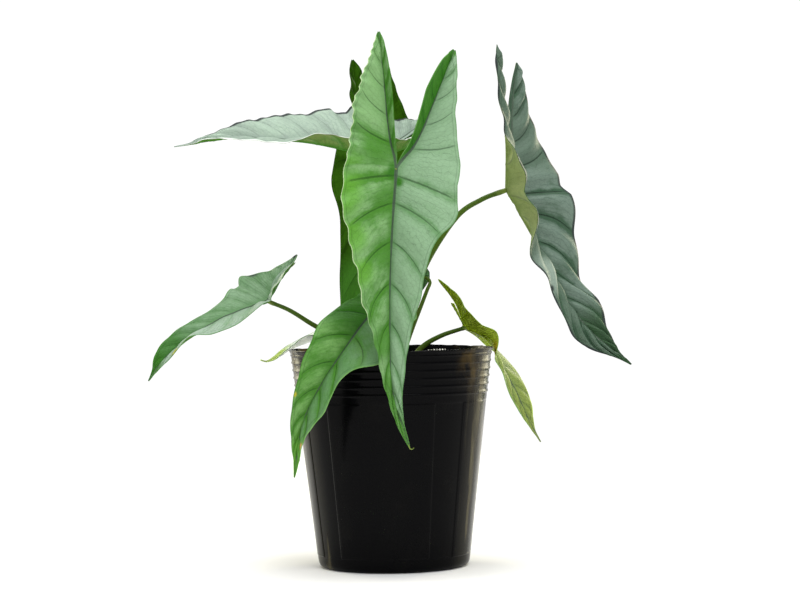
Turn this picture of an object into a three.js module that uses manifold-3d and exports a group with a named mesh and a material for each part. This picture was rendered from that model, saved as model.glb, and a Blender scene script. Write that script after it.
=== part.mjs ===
// A potted dragon's breath alocasia: a tall ribbed nursery pot filled with potting mix, a short stem
// base standing in a plain hole in the mix, and nine leaves, each an arrow-shaped blade on a petiole.
// Millimetres, +Z up. The origin is the centre of the pot's flat base, and -Y is the front.
import * as THREE from 'three';
import { mergeVertices } from 'three/addons/utils/BufferGeometryUtils.js';
import Module from 'manifold-3d';

const wasm = await Module();
wasm.setup();

// Clearance kept between pieces that touch.
const GAP = 0.3;

// The pot: a straight taper from a rounded foot to a thin flared lip. foot and lip hold radius and
// height, and innerFoot is where the straight inner wall meets the rounding above the floor.
const POT = {
  foot: [[50.2, 0], [53.6, 0.8], [55.5, 3]],
  footRadius: 56.2,
  footHeight: 6,
  shoulderRadius: 74.1,
  shoulderHeight: 157,
  lip: [[76, 160.5], [75.7, 161.5], [74.7, 161.5]],
  wall: 1.4,
  floor: 2,
  innerFoot: 5,
  innerRounding: 3,
};
const POT_RIBS = { lowest: 128.9, spacing: 5.6, count: 6, depth: 0.6, halfHeight: 1.3 };
const POT_PANELS = { count: 16, depth: 0.25, bottom: 9.6, top: 122, bevel: 0.8, edge: 1.2, turn: 3.4 };
const DRAIN_HOLES = { count: 6, radius: 5, ring: 37, sides: 12 };

// The potting mix: its level, the height of its lumps, the rings that its top is made of as shares of
// its radius, the height of its plain edge below the level, and its clearance to the pot's wall.
const MIX = {
  level: 142,
  lump: 0.55,
  rings: [0.95, 0.8, 0.62, 0.44],
  edge: 3,
  clearance: 0.5,
  sectors: 32,
};

// The stem base: radius and height from the bottom up, with the scars of old leaves as shallow rings.
const STEM = {
  profile: [
    [12.5, 118], [15.6, 124], [16, 136], [15.2, 139],
    [16, 142], [15.3, 145.5], [13.6, 149], [8, 152.4],
  ],
  top: 153,
  sectors: 20,
};

// Every blade: thickness, rise of the keel under the ribs, how far each half bulges between rib and
// margin in degrees, the angle at which the side veins leave the midrib, the share of the midrib over
// which directions turn at the sinus, the web of blade that closes the sinus, which points along the
// lobes' ribs where they are webAt from it, the most of the way from one lobe's rib to the other's that
// its inner strip takes, and the half-width under which a blade flattens to its tip.
const BLADE = {
  thickness: 0.8,
  keel: 0.9,
  arch: 16,
  sweep: 25,
  turn: 0.09,
  web: 3,
  webAt: 8,
  sinusShare: 0.38,
  leastWidth: 0.4,
  flatUnder: 5,
};
const ARCH = { centre: 0.45, power: 1.3, steps: 24 };
// How unevenly a margin's waves are spaced along it.
const WAVE_DRIFT = { size: 1.3, rate: 5 };

// Where half-widths and folds are stated along a leaf: -1 is a lobe's tip, 0 the sinus and 1 the tip.
const STATIONS = [-1, -0.85, -0.6, -0.35, -0.12, 0.08, 0.25, 0.42, 0.6, 0.78, 0.92, 1];
const LOBE_TIP_WIDTH = 0.8;
const LEAF_TIP_WIDTH = 0.6;

// Width of the strip between a lobe's rib and its inner margin, and strength of the margin's waves.
const INNER_WIDTH = { at: [-1, -0.85, -0.6, -0.35, -0.15, 0], mm: [1, 6, 9, 9, 6, 3] };
const WAVE_SHARE = { at: [-1, -0.8, -0.3, 0.5, 0.85, 1], share: [0.1, 0.8, 1, 1, 0.5, 0] };

// Rows along a lobe and along the midrib, and columns from a rib to the margin.
const ROWS = {
  large: { lobe: 12, leaf: 26, columns: 4 },
  small: { lobe: 7, leaf: 16, columns: 3 },
};

// The leaves. midrib runs from the sinus to the tip, and lobes are the ribs from the sinus to the two
// lobe tips. up and lobeUp say which way the upper face looks along them. width and fold are given for
// the left and the right half, seen from above with the tip down: half-widths in millimetres and
// degrees above flat at STATIONS. ripple is each margin's wave: height, number and phase. petiole
// runs from the stem base to the sinus, and its radius is at its foot.
const LEAVES = {
  front: {
    size: 'large',
    midrib: [[6, -78, 291], [2, -90, 240], [0, -98, 190], [1, -103, 135], [12, -104, 95]],
    lobes: [
      [[1, -74, 318], [-2, -67, 355], [-5, -58, 389]],
      [[21, -73, 310], [35, -66, 341], [49, -57, 375]],
    ],
    up: [[0.05, -1, 0.25], [0, -1, 0.1], [0, -1, 0.05]],
    lobeUp: [[0.2, -1, 0.3], [-0.1, -1, 0.3]],
    width: [
      [7.5, 19, 29, 34.5, 43.5, 34, 24.5, 13.5, 6, 3.5],
      [7.5, 16, 24.5, 39.5, 50, 35, 27, 17, 9, 2],
    ],
    fold: [[25, 25, 25, 25, 25, 25, 25, 25, 25, 25], [18, 15, 13, 12, 17, 28, 28, 28, 26, 26]],
    ripple: [[1.3, 9, 0.5], [0.8, 8, 1]],
    inner: { scale: [0.9, 1.5], fold: [55, 55] },
    petiole: [[-6.7, -8, 144], [-13, -15, 185], [-20, -27, 222], [-14, -52, 262]],
    footRadius: 2.8,
  },
  back: {
    size: 'large',
    midrib: [[-14, 60, 311], [-18, 82, 250], [-16, 97, 180], [-5, 104, 98]],
    lobes: [[[-9, 53, 348], [-6, 40, 385]], [[-21, 53, 345], [-26, 42, 378]]],
    up: [[0.25, 1, 0.3], [0.15, 1, 0.2], [0, 1, 0]],
    lobeUp: [[0.2, 1, 0.3], [0.3, 1, 0.3]],
    width: [
      [7.5, 14.5, 23, 34, 41.5, 39.5, 31.5, 20.5, 10.5, 3.5],
      [5.5, 10, 14.5, 25.5, 35.5, 27, 27, 28, 12, 3],
    ],
    fold: [[21, 22, 21, 21, 20, 20, 20, 20, 20, 20], [33, 35, 33, 26, 20, 20, 19, 16, 17, 19]],
    ripple: [[1.5, 9, 0.5], [1.2, 8, 1]],
    inner: { scale: [1, 1], fold: [30, 30] },
    web: 7,
    petiole: [[-1.2, 5.6, 144], [-5, 20, 200], [-11, 40, 262]],
    footRadius: 2.8,
  },
  upper_left: {
    size: 'large',
    midrib: [[-15, 2, 305], [-35, -4, 309], [-64, -14, 314], [-111, -30, 316], [-154, -42, 310]],
    lobes: [[[6, 20, 314], [28, 36, 330]], [[8, -4, 307], [30, -6, 317]]],
    up: [[0.1, -0.35, 0.93], [-0.05, -0.35, 0.93], [-0.1, -0.3, 0.95]],
    lobeUp: [[0.3, -0.3, 0.93], [0.3, -0.2, 0.93]],
    width: [
      [8.5, 18.5, 30.5, 45, 45, 35.5, 27.5, 17.5, 8.5, 2.5],
      [8, 16.5, 24, 29.5, 31, 28, 23, 15.5, 8, 2.5],
    ],
    fold: [[22, 23, 27, 29, 22, 19, 23, 28, 25, 19], [23, 29, 33, 34, 32, 27, 9, 6, 21, 34]],
    ripple: [[0.8, 9, 0.5], [0.7, 8, 1]],
    inner: { scale: [1, 1], fold: [30, 30] },
    petiole: [[-4, -1.2, 144], [-8, 3, 200], [-14, 4, 262]],
    footRadius: 2.8,
  },
  lower_front: {
    size: 'large',
    midrib: [
      [-3, -46, 196], [-18, -63, 182], [-33, -77, 162], [-50, -82, 137],
      [-63, -79, 110], [-70, -70, 72],
    ],
    lobes: [[[7, -38, 211], [21, -28, 232]], [[11, -44, 202], [20, -40, 206]]],
    up: [[-0.2, -0.8, 0.75], [-0.12, -1, 0.4], [-0.35, -1, 0.1]],
    lobeUp: [[-0.2, -0.7, 0.8], [-0.1, -0.7, 0.8]],
    width: [
      [9.5, 16, 18.5, 19.5, 20, 27, 23, 15, 7.5, 2.5],
      [4, 9, 16, 31, 40.5, 39.5, 21.5, 17.5, 8, 2.5],
    ],
    fold: [[15, 15, 14, 14, 20, 28, 25, 22, 20, 18], [16, 16, 16, 14, 12, 12, 35, 29, 36, 40]],
    ripple: [[0.5, 9, 0.5], [0.8, 7, 1]],
    inner: { scale: [0.6, 0.6], fold: [30, 30] },
    web: 6,
    petiole: [[0, -10.5, 144], [1, -20, 168], [0, -34, 187]],
    footRadius: 2.6,
  },
  right: {
    size: 'large',
    midrib: [
      [88, 14, 277], [102, 11, 251], [115, 6, 226], [130, -2, 194], [149, -12, 169],
      [175, -26, 147],
    ],
    lobes: [
      [[88, 3, 306], [86, -8, 335], [83, -15, 360], [81, -20, 382]],
      [[92, 26, 307], [94, 36, 342], [98, 42, 374]],
    ],
    up: [[0.79, -0.26, 0.5], [0.76, -0.45, 0.5], [0.5, -0.75, 0.5]],
    lobeUp: [[0.95, -0.5, 0.1], [0.95, -0.4, 0.1]],
    width: [
      [11, 22.5, 31.5, 39.5, 43.5, 41.5, 34, 23.5, 12, 3.5],
      [11, 21.5, 31, 42, 47, 37.5, 28.5, 24.5, 12, 3],
    ],
    fold: [[9, 8, 8, 23, 28, 3, 12, 2, -30, -30], [15, 17, 23, 36, 47, 31, 18, 32, 25, 3]],
    ripple: [[1, 9, 0.5], [0.8, 9, 1]],
    inner: { scale: [0.45, 0.55], fold: [10, -15] },
    petiole: [[4.5, -2.5, 144], [15, -5, 189], [27, 1, 223], [50, 8, 257], [69, 11, 270]],
    footRadius: 2.8,
  },
  left: {
    size: 'small',
    midrib: [
      [-90, -10, 197], [-102, -18, 193], [-123, -27, 185], [-145, -33, 172],
      [-164, -36, 157], [-176, -37, 141],
    ],
    lobes: [
      [[-83, 0, 211], [-75, 8, 222], [-69, 13, 231]],
      [[-84, -14, 208], [-77, -13, 217], [-70, -8, 225]],
    ],
    up: [[-0.3, -0.65, 0.75], [-0.4, -0.7, 0.6], [-0.6, -0.7, 0.4]],
    lobeUp: [[-0.5, -0.6, 0.6], [-0.5, -0.6, 0.6]],
    width: [
      [4.5, 10.5, 19, 30.5, 25, 16.5, 13, 13, 9.5, 3],
      [6, 12.5, 18, 22.5, 24.5, 22.5, 18, 12, 6.5, 2],
    ],
    fold: [[8, 5, 8, 15, 14, 8, 7, 17, 26, 27], [45, 39, 34, 38, 32, 12, 15, 46, 10, 1]],
    ripple: [[0.5, 7, 0.5], [0.5, 6, 1]],
    inner: { scale: [0.5, 0.5], fold: [30, 30] },
    petiole: [[-10.3, -1.8, 144], [-34, -6, 168], [-55, -8, 178], [-74, -9, 190]],
    footRadius: 2.3,
  },
  back_left: {
    size: 'small',
    midrib: [
      [-46, 38, 167], [-60, 52, 166], [-76, 64, 160], [-88, 70, 153], [-96, 72, 150],
      [-101, 74, 151],
    ],
    lobes: [[[-40, 34, 173], [-34, 30, 182]], [[-38, 28, 168], [-31, 18, 171]]],
    up: [[-0.2, -0.4, 0.85], [-0.3, -0.6, 0.7], [-0.5, -0.5, 0.7]],
    lobeUp: [[-0.5, -0.5, 0.7], [-0.4, -0.4, 0.8]],
    width: [[4, 8, 11.5, 14, 14, 12, 9, 6, 3.5, 1], [3.5, 7.5, 10.5, 13, 14, 12.5, 10, 6.5, 3.5, 1]],
    fold: [[20, 21, 20, 19, 14, 6, 3, 6, 14, 20], [40, 41, 41, 42, 42, 41, 38, 33, 27, 24]],
    ripple: [[0.4, 5, 0.5], [0.4, 4, 1]],
    inner: { scale: [0.5, 0.5], fold: [30, 30] },
    web: 4,
    petiole: [[-6.7, 8, 144], [-26, 22, 156], [-42, 35, 161]],
    footRadius: 2.1,
  },
  low_right: {
    size: 'small',
    midrib: [
      [56, 12, 175], [63, 18, 172], [71, 24, 167], [79, 29, 157], [85, 31, 142],
      [94, 32, 124], [103, 29, 103], [111, 25, 88],
    ],
    lobes: [[[49, 10, 193], [36, 6, 211]], [[51, 17.5, 184], [45.5, 21, 193]]],
    up: [[0.35, 0, 0.93], [0.6, -0.3, 0.7], [0.75, -0.6, 0.3], [0.7, -0.6, 0.25], [0.7, -0.6, 0.25]],
    lobeUp: [[0.8, 0.35, 0.5], [0.8, 0.1, 0.5]],
    width: [
      [5, 10.5, 14.5, 18, 18, 14, 12.5, 10, 5.5, 2],
      [4, 9, 14, 20, 23, 23.5, 21, 13, 6, 1.5],
    ],
    fold: [[7, 5, 2, 9, 25, -10, 19, 2, -5, 6], [13, 14, 13, 6, -8, -22, -7, 5, 28, 19]],
    ripple: [[0.4, 5, 0.5], [0.4, 5, 1]],
    inner: { scale: [0.6, 0.6], fold: [10, 30] },
    petiole: [[9.9, 3.6, 144], [22, 8, 160], [37, 10, 169]],
    footRadius: 2.3,
  },
  inner: {
    size: 'small',
    midrib: [[21, 31.5, 212], [14, 34, 199], [7, 35, 186], [-1, 36, 171]],
    lobes: [[[22.7, 30, 217], [25, 27, 223]], [[14, 31, 219], [9, 29, 228]]],
    up: [[0.2, 0.95, 0.2], [0.1, 0.95, 0.1], [0, 0.95, 0.1]],
    lobeUp: [[0.2, 0.9, 0.3], [0, 0.9, 0.2]],
    width: [[2.5, 5, 7.5, 8.5, 8, 6.5, 8, 7, 4, 1.5], [2.5, 5, 7, 8, 8.5, 9, 9, 7.5, 4.5, 1.5]],
    fold: [[10, 12, 15, 18, 20, 20, 20, 19, 19, 20], [10, 12, 15, 18, 20, 20, 20, 19, 19, 20]],
    ripple: [[0.4, 5, 0.5], [0.4, 5, 1]],
    inner: { scale: [0.4, 0.4], fold: [20, 20] },
    web: 2,
    petiole: [
      [4.6, 5.2, 144], [14.5, 13, 171], [23.5, 21, 193],
      [28, 25, 204], [30, 27.5, 209], [27, 29.5, 212.5],
    ],
    footRadius: 2,
    stepLength: 4,
  },
};
// A petiole thins to this share of its foot's radius, and overruns the sinus before its blade cuts it.
const PETIOLE = { taper: 0.62, sides: 6, stepLength: 9, overrun: 3 };

const FINISH = {
  pot: { color: 0x17181b, roughness: 0.32, metalness: 0 },
  mix: { color: 0x3b2d22, roughness: 0.95, metalness: 0 },
  stem: { color: 0x6d6a3f, roughness: 0.7, metalness: 0 },
  petiole: { color: 0x71903d, roughness: 0.5, metalness: 0 },
  silverGreen: { color: 0x86a98c, roughness: 0.45, metalness: 0 },
  freshGreen: { color: 0x5e9a4a, roughness: 0.4, metalness: 0 },
  darkGreen: { color: 0x3f6b33, roughness: 0.5, metalness: 0 },
  paleGreen: { color: 0x9db55a, roughness: 0.5, metalness: 0 },
};
const BLADE_FINISH = {
  front: 'freshGreen',
  back: 'darkGreen',
  upper_left: 'silverGreen',
  lower_front: 'freshGreen',
  right: 'silverGreen',
  left: 'silverGreen',
  back_left: 'paleGreen',
  low_right: 'paleGreen',
  inner: 'silverGreen',
};

const radians = THREE.MathUtils.degToRad;
const clamp = THREE.MathUtils.clamp;

// A value at x on the smooth line through points (xs, ys).
function smoothLine(xs, ys, x) {
  const last = xs.length - 1;
  const slope = (i) => {
    const a = Math.max(i - 1, 0);
    const b = Math.min(i + 1, last);
    return (ys[b] - ys[a]) / (xs[b] - xs[a]);
  };
  const at = clamp(x, xs[0], xs[last]);
  let i = 0;
  while (i < last - 1 && at >= xs[i + 1]) {
    i += 1;
  }
  const step = xs[i + 1] - xs[i];
  const w = (at - xs[i]) / step;
  const start = ys[i] * (1 + 2 * w) * (1 - w) ** 2 + step * slope(i) * w * (1 - w) ** 2;
  const end = ys[i + 1] * w * w * (3 - 2 * w) - step * slope(i + 1) * w * w * (1 - w);
  return start + end;
}

function vector([x, y, z]) {
  return new THREE.Vector3(x, y, z);
}

function curveThrough(points) {
  return new THREE.CatmullRomCurve3(points.map(vector), false, 'catmullrom', 0.5);
}

// A closed body from rings of points, each end closed by a fan to the ring's centre or a given point.
function loft(rings, firstCentre = null, lastCentre = null) {
  const count = rings[0].length;
  const middle = (ring) => ring.reduce((sum, p) => sum.add(p), new THREE.Vector3()).divideScalar(count);
  const points = rings.flat();
  const first = points.push(firstCentre ?? middle(rings[0])) - 1;
  const last = points.push(lastCentre ?? middle(rings[rings.length - 1])) - 1;
  const faces = [];
  for (let j = 0; j < count; j += 1) {
    const k = (j + 1) % count;
    faces.push([first, k, j]);
    for (let i = 0; i < rings.length - 1; i += 1) {
      const a = i * count;
      const b = a + count;
      faces.push([a + j, a + k, b + k], [a + j, b + k, b + j]);
    }
    const end = (rings.length - 1) * count;
    faces.push([end + j, end + k, last]);
  }
  return geometryFrom(points, faces);
}

function geometryFrom(points, faces) {
  const geometry = new THREE.BufferGeometry();
  const position = points.flatMap((p) => p.toArray());
  geometry.setAttribute('position', new THREE.Float32BufferAttribute(position, 3));
  geometry.setIndex(faces.flat());
  return geometry;
}

function toSolid(geometry) {
  const bare = geometry.clone();
  bare.deleteAttribute('normal');
  bare.deleteAttribute('uv');
  const merged = mergeVertices(bare, 1e-4);
  return new wasm.Manifold(new wasm.Mesh({
    numProp: 3,
    vertProperties: new Float32Array(merged.attributes.position.array),
    triVerts: new Uint32Array(merged.index.array),
  }));
}

function toGeometry(solid) {
  const mesh = solid.getMesh();
  const geometry = new THREE.BufferGeometry();
  const position = new Float32Array(mesh.vertProperties);
  geometry.setAttribute('position', new THREE.BufferAttribute(position, 3));
  geometry.setIndex(new THREE.BufferAttribute(new Uint32Array(mesh.triVerts), 1));
  return geometry;
}

// The largest body left after a cut, without the scraps beyond it.
function largestBody(solid) {
  return solid.decompose().reduce((best, part) => (part.volume() > best.volume() ? part : best));
}

function circle(radius, z, count) {
  return Array.from({ length: count }, (_, j) => {
    const angle = (j / count) * 2 * Math.PI;
    return new THREE.Vector3(radius * Math.cos(angle), radius * Math.sin(angle), z);
  });
}

// The outer radius of the pot's plain taper at a height.
function potRadius(z) {
  const share = (z - POT.footHeight) / (POT.shoulderHeight - POT.footHeight);
  return POT.footRadius + share * (POT.shoulderRadius - POT.footRadius);
}

// One ring of the pot's panelled wall: three points to a panel, every second panel standing proud.
function panelRing(z, depth) {
  const pitch = 360 / POT_PANELS.count;
  const places = [POT_PANELS.edge, pitch / 2, pitch - POT_PANELS.edge];
  const ring = [];
  for (let panel = 0; panel < POT_PANELS.count; panel += 1) {
    const radius = potRadius(z) + (panel % 2 === 0 ? depth : -depth);
    for (const place of places) {
      const angle = radians(panel * pitch + place + POT_PANELS.turn);
      ring.push(new THREE.Vector3(radius * Math.cos(angle), radius * Math.sin(angle), z));
    }
  }
  return ring;
}

function roundRing(radius, z) {
  return panelRing(z, 0).map((p) => {
    const flat = new THREE.Vector2(p.x, p.y).setLength(radius);
    return new THREE.Vector3(flat.x, flat.y, z);
  });
}

function innerRadius(z) {
  return potRadius(z) - POT.wall;
}

function makePot() {
  const rings = POT.foot.map(([radius, z]) => roundRing(radius, z));
  rings.push(panelRing(POT.footHeight, 0));
  rings.push(panelRing(POT_PANELS.bottom, 0));
  rings.push(panelRing(POT_PANELS.bottom + POT_PANELS.bevel, POT_PANELS.depth));
  rings.push(panelRing(POT_PANELS.top, POT_PANELS.depth));
  rings.push(panelRing(POT_PANELS.top + POT_PANELS.bevel, 0));
  for (let i = 0; i < POT_RIBS.count; i += 1) {
    const middle = POT_RIBS.lowest + i * POT_RIBS.spacing;
    for (const [step, proud] of [[-1, 0], [0, POT_RIBS.depth], [1, 0]]) {
      const z = middle + step * POT_RIBS.halfHeight;
      rings.push(roundRing(potRadius(z) + proud, z));
    }
  }
  rings.push(...POT.lip.map(([radius, z]) => roundRing(radius, z)));
  rings.push(roundRing(innerRadius(POT.shoulderHeight), POT.shoulderHeight));
  rings.push(roundRing(innerRadius(POT.innerFoot), POT.innerFoot));
  rings.push(roundRing(innerRadius(POT.floor) - POT.innerRounding, POT.floor));
  const shell = toSolid(loft(rings, new THREE.Vector3(0, 0, 0), new THREE.Vector3(0, 0, POT.floor)));
  const holes = Array.from({ length: DRAIN_HOLES.count }, (_, i) => {
    const angle = ((i + 0.5) / DRAIN_HOLES.count) * 2 * Math.PI;
    const { radius, ring, sides } = DRAIN_HOLES;
    const hole = new THREE.CylinderGeometry(radius, radius, 3 * POT.floor, sides);
    hole.rotateX(Math.PI / 2);
    hole.translate(ring * Math.cos(angle), ring * Math.sin(angle), POT.floor / 2);
    return toSolid(hole);
  });
  return toGeometry(holes.reduce((body, hole) => body.subtract(hole), shell));
}

// The stem base, grown outward by a clearance where it cuts its hole in the mix.
function stemSolid(clearance) {
  const rings = STEM.profile.map(([radius, z], i) => {
    const height = i === 0 ? z - clearance : z;
    return circle(radius + clearance, height, STEM.sectors);
  });
  const bottom = new THREE.Vector3(0, 0, STEM.profile[0][1] - clearance);
  return toSolid(loft(rings, bottom, new THREE.Vector3(0, 0, STEM.top + clearance)));
}

// Height of the mix's surface above its level: three sets of lumps that wander around the stem.
function lump(angle, share) {
  const broad = Math.sin(3 * angle + 9 * share) + Math.sin(5 * angle - 14 * share + 1);
  return MIX.lump * (broad + Math.sin(11 * angle + 31 * share));
}

function makePottingMix() {
  const radiusAt = (z) => innerRadius(z) - MIX.clearance;
  const side = (radius, z) => circle(radius, z, MIX.sectors);
  const rings = [
    side(radiusAt(POT.floor) - POT.innerRounding, POT.floor + GAP),
    side(radiusAt(POT.innerFoot), POT.innerFoot + GAP),
    side(radiusAt(MIX.level - MIX.edge), MIX.level - MIX.edge),
  ];
  for (const share of MIX.rings) {
    const ring = side(share * radiusAt(MIX.level), MIX.level);
    ring.forEach((p) => p.setZ(p.z + lump(Math.atan2(p.y, p.x), share)));
    rings.push(ring);
  }
  const bottom = new THREE.Vector3(0, 0, POT.floor + GAP);
  const body = toSolid(loft(rings, bottom, new THREE.Vector3(0, 0, MIX.level)));
  return toGeometry(body.subtract(stemSolid(GAP)));
}

// The line that one half of a blade hangs from, by distance from the sinus: its lobe's rib for
// negative distances and the midrib for positive ones.
function costa(leaf, half) {
  const midrib = curveThrough(leaf.midrib);
  const rib = curveThrough([leaf.midrib[0], ...leaf.lobes[half]]);
  const ahead = midrib.getLength();
  const behind = rib.getLength();
  const point = (s) => {
    const [curve, length] = s < 0 ? [rib, behind] : [midrib, ahead];
    return curve.getPointAt(Math.min(Math.abs(s) / length, 1));
  };
  return { turn: BLADE.turn * ahead, distance: (t) => t * (t < 0 ? behind : ahead), point };
}

// The frame of one row of a half blade: its foot on the costa, the way along it, the way up and the
// way out to the margin, swept like the side veins.
function rowFrame(leaf, half, line, t) {
  const side = half === 0 ? 1 : -1;
  const s = line.distance(t);
  const foot = line.point(s);
  const along = line.point(s + line.turn).sub(line.point(s - line.turn)).normalize();
  const at = [-1, ...leaf.up.map((_, i) => i / (leaf.up.length - 1))];
  const ups = [leaf.lobeUp[half], ...leaf.up];
  const up = new THREE.Vector3(...[0, 1, 2].map((axis) => smoothLine(at, ups.map((u) => u[axis]), t)));
  up.addScaledVector(along, -up.dot(along)).normalize();
  const out = along.clone().cross(up).multiplyScalar(side);
  const sweep = radians(BLADE.sweep) * Math.tanh(s / line.turn);
  const swept = out.clone().multiplyScalar(Math.cos(sweep)).addScaledVector(along, Math.sin(sweep));
  const inward = out.clone().multiplyScalar(-Math.cos(sweep)).addScaledVector(along, Math.sin(sweep));
  return { foot, up, swept, inward, s };
}

function alongStations(values, t, first, last) {
  return smoothLine(STATIONS, [first ?? values[0], ...values, last ?? values[values.length - 1]], t);
}

// Points of one row from the costa to the outer margin.
function rowPoints(leaf, half, line, t, columns) {
  const { foot, up, swept } = rowFrame(leaf, half, line, t);
  const stated = alongStations(leaf.width[half], t, LOBE_TIP_WIDTH, LEAF_TIP_WIDTH);
  const width = Math.max(stated, BLADE.leastWidth);
  const fold = radians(alongStations(leaf.fold[half], t));
  const [height, waves, phase] = leaf.ripple[half];
  const strength = clamp(smoothLine(WAVE_SHARE.at, WAVE_SHARE.share, t), 0, 1);
  const drift = WAVE_DRIFT.size * Math.sin(WAVE_DRIFT.rate * t + phase);
  const wave = height * strength * Math.sin(Math.PI * waves * (t + 1) + phase + drift);
  const slim = Math.min(width / BLADE.flatUnder, 1);
  const tilt = (v) => slim * (fold + radians(BLADE.arch) * (ARCH.centre - v ** ARCH.power));
  const row = [foot];
  let across = 0;
  let rise = 0;
  for (let step = 1; step <= ARCH.steps; step += 1) {
    const angle = tilt((step - 0.5) / ARCH.steps);
    across += Math.cos(angle) / ARCH.steps;
    rise += Math.sin(angle) / ARCH.steps;
    if ((step * columns) % ARCH.steps === 0) {
      const v = step / ARCH.steps;
      const normal = up.clone().multiplyScalar(Math.cos(tilt(v)));
      normal.addScaledVector(swept, -Math.sin(tilt(v)));
      const point = foot.clone().addScaledVector(swept, width * across);
      point.addScaledVector(up, width * rise);
      row.push(point.addScaledVector(normal, wave * v * v));
    }
  }
  return row;
}

// The middle surface of a blade: shared points, faces that look up, and which points lie on a rib.
function bladeSurface(leaf) {
  const rows = ROWS[leaf.size];
  const points = [];
  const onRib = [];
  const places = new Map();
  const place = (key, point, ribShare) => {
    if (!places.has(key)) {
      places.set(key, points.push(point) - 1);
      onRib.push(ribShare);
    }
    return places.get(key);
  };
  const faces = [];
  const quad = (half, a, b, c, d) => {
    faces.push(...(half === 0 ? [[a, b, c], [a, c, d]] : [[a, c, b], [a, d, c]]));
  };
  const lines = [costa(leaf, 0), costa(leaf, 1)];
  const sinus = vector(leaf.midrib[0]);
  const web = new THREE.Vector3();
  for (const line of lines) {
    web.add(line.point(-BLADE.webAt).sub(sinus).normalize());
  }
  web.setLength(leaf.web ?? BLADE.web).add(sinus);
  const steps = [];
  for (let i = -rows.lobe; i <= rows.leaf; i += 1) {
    steps.push(i < 0 ? i / rows.lobe : i / rows.leaf);
  }
  for (const half of [0, 1]) {
    const line = lines[half];
    const grid = steps.map((t, i) => rowPoints(leaf, half, line, t, rows.columns).map((point, j) => {
      const shared = j === 0 && t >= 0;
      const keelShare = j === 0 ? 1 - Math.abs(t) : 0;
      return place(shared ? `mid ${i}` : `${half} ${i} ${j}`, point, keelShare);
    }));
    for (let i = 0; i < steps.length - 1; i += 1) {
      for (let j = 0; j < rows.columns; j += 1) {
        quad(half, grid[i][j], grid[i][j + 1], grid[i + 1][j + 1], grid[i + 1][j]);
      }
    }
    const innerEdge = steps.filter((t) => t <= 0).map((t, i) => {
      if (t === 0) {
        return place('web', web, 0);
      }
      const { foot, up, inward, s } = rowFrame(leaf, half, line, t);
      const apart = lines[0].point(s).distanceTo(lines[1].point(s));
      const stated = leaf.inner.scale[half] * smoothLine(INNER_WIDTH.at, INNER_WIDTH.mm, t);
      const width = Math.max(Math.min(stated, BLADE.sinusShare * apart), BLADE.leastWidth);
      const slim = Math.min(width / BLADE.flatUnder, 1);
      const fold = radians(leaf.inner.fold[half]) * slim;
      const edge = foot.clone().addScaledVector(inward, width * Math.cos(fold));
      return place(`${half} in ${i}`, edge.addScaledVector(up, width * Math.sin(fold)), 0);
    });
    for (let i = 0; i < rows.lobe; i += 1) {
      quad(half, innerEdge[i], grid[i][0], grid[i + 1][0], innerEdge[i + 1]);
    }
  }
  return { points, faces, onRib };
}

// A blade as a solid: its middle surface moved both ways along its normals, both faces split alike,
// with the keel standing out below the ribs. A clearance makes it the cutter for its petiole.
function bladeSolid(leaf, clearance = 0) {
  const { points, faces, onRib } = bladeSurface(leaf);
  const normals = points.map(() => new THREE.Vector3());
  for (const [a, b, c] of faces) {
    const ab = points[b].clone().sub(points[a]);
    const area = ab.cross(points[c].clone().sub(points[a]));
    [a, b, c].forEach((i) => normals[i].add(area));
  }
  const offset = BLADE.thickness / 2 + clearance;
  const upper = points.map((p, i) => p.clone().addScaledVector(normals[i].normalize(), offset));
  const below = onRib.map((share) => offset + BLADE.keel * share);
  const lower = points.map((p, i) => p.clone().addScaledVector(normals[i], -below[i]));
  const count = points.length;
  const all = [];
  const edges = new Set();
  for (const [a, b, c] of faces) {
    all.push([a, b, c], [a + count, c + count, b + count]);
    [[a, b], [b, c], [c, a]].forEach(([from, to]) => edges.add(`${from} ${to}`));
  }
  for (const edge of edges) {
    const [a, b] = edge.split(' ').map(Number);
    if (!edges.has(`${b} ${a}`)) {
      all.push([b, a, a + count], [b, a + count, b + count]);
    }
  }
  return geometryFrom([...upper, ...lower], all);
}

// A petiole tapers from its foot in the stem base to the sinus, and is cut clear of its blade.
function petioleTube(leaf, clearance, overrun) {
  const end = vector(leaf.midrib[0]);
  const path = curveThrough([...leaf.petiole, leaf.midrib[0]]);
  const steps = Math.ceil(path.getLength() / (leaf.stepLength ?? PETIOLE.stepLength));
  const frames = path.computeFrenetFrames(steps, false);
  const ring = (centre, radius, i) => Array.from({ length: PETIOLE.sides }, (_, j) => {
    const angle = (-j / PETIOLE.sides) * 2 * Math.PI;
    const point = centre.clone().addScaledVector(frames.normals[i], radius * Math.cos(angle));
    return point.addScaledVector(frames.binormals[i], -radius * Math.sin(angle));
  });
  const radiusAt = (share) => leaf.footRadius * (1 - (1 - PETIOLE.taper) * share) + clearance;
  const rings = [];
  for (let i = 0; i <= steps; i += 1) {
    const centre = path.getPointAt(i / steps);
    const push = i === 0 ? -clearance : 0;
    rings.push(ring(centre.addScaledVector(frames.tangents[i], push), radiusAt(i / steps), i));
  }
  if (overrun > 0) {
    rings.push(ring(end.addScaledVector(frames.tangents[steps], overrun), radiusAt(1), steps));
  }
  return toSolid(loft(rings));
}

function makePetiole(leaf) {
  const cutter = toSolid(bladeSolid(leaf, GAP));
  return toGeometry(largestBody(petioleTube(leaf, 0, PETIOLE.overrun).subtract(cutter)));
}

function makeStemBase() {
  const sockets = Object.values(LEAVES).map((leaf) => petioleTube(leaf, GAP, 0));
  return toGeometry(sockets.reduce((body, socket) => body.subtract(socket), stemSolid(0)));
}

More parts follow.
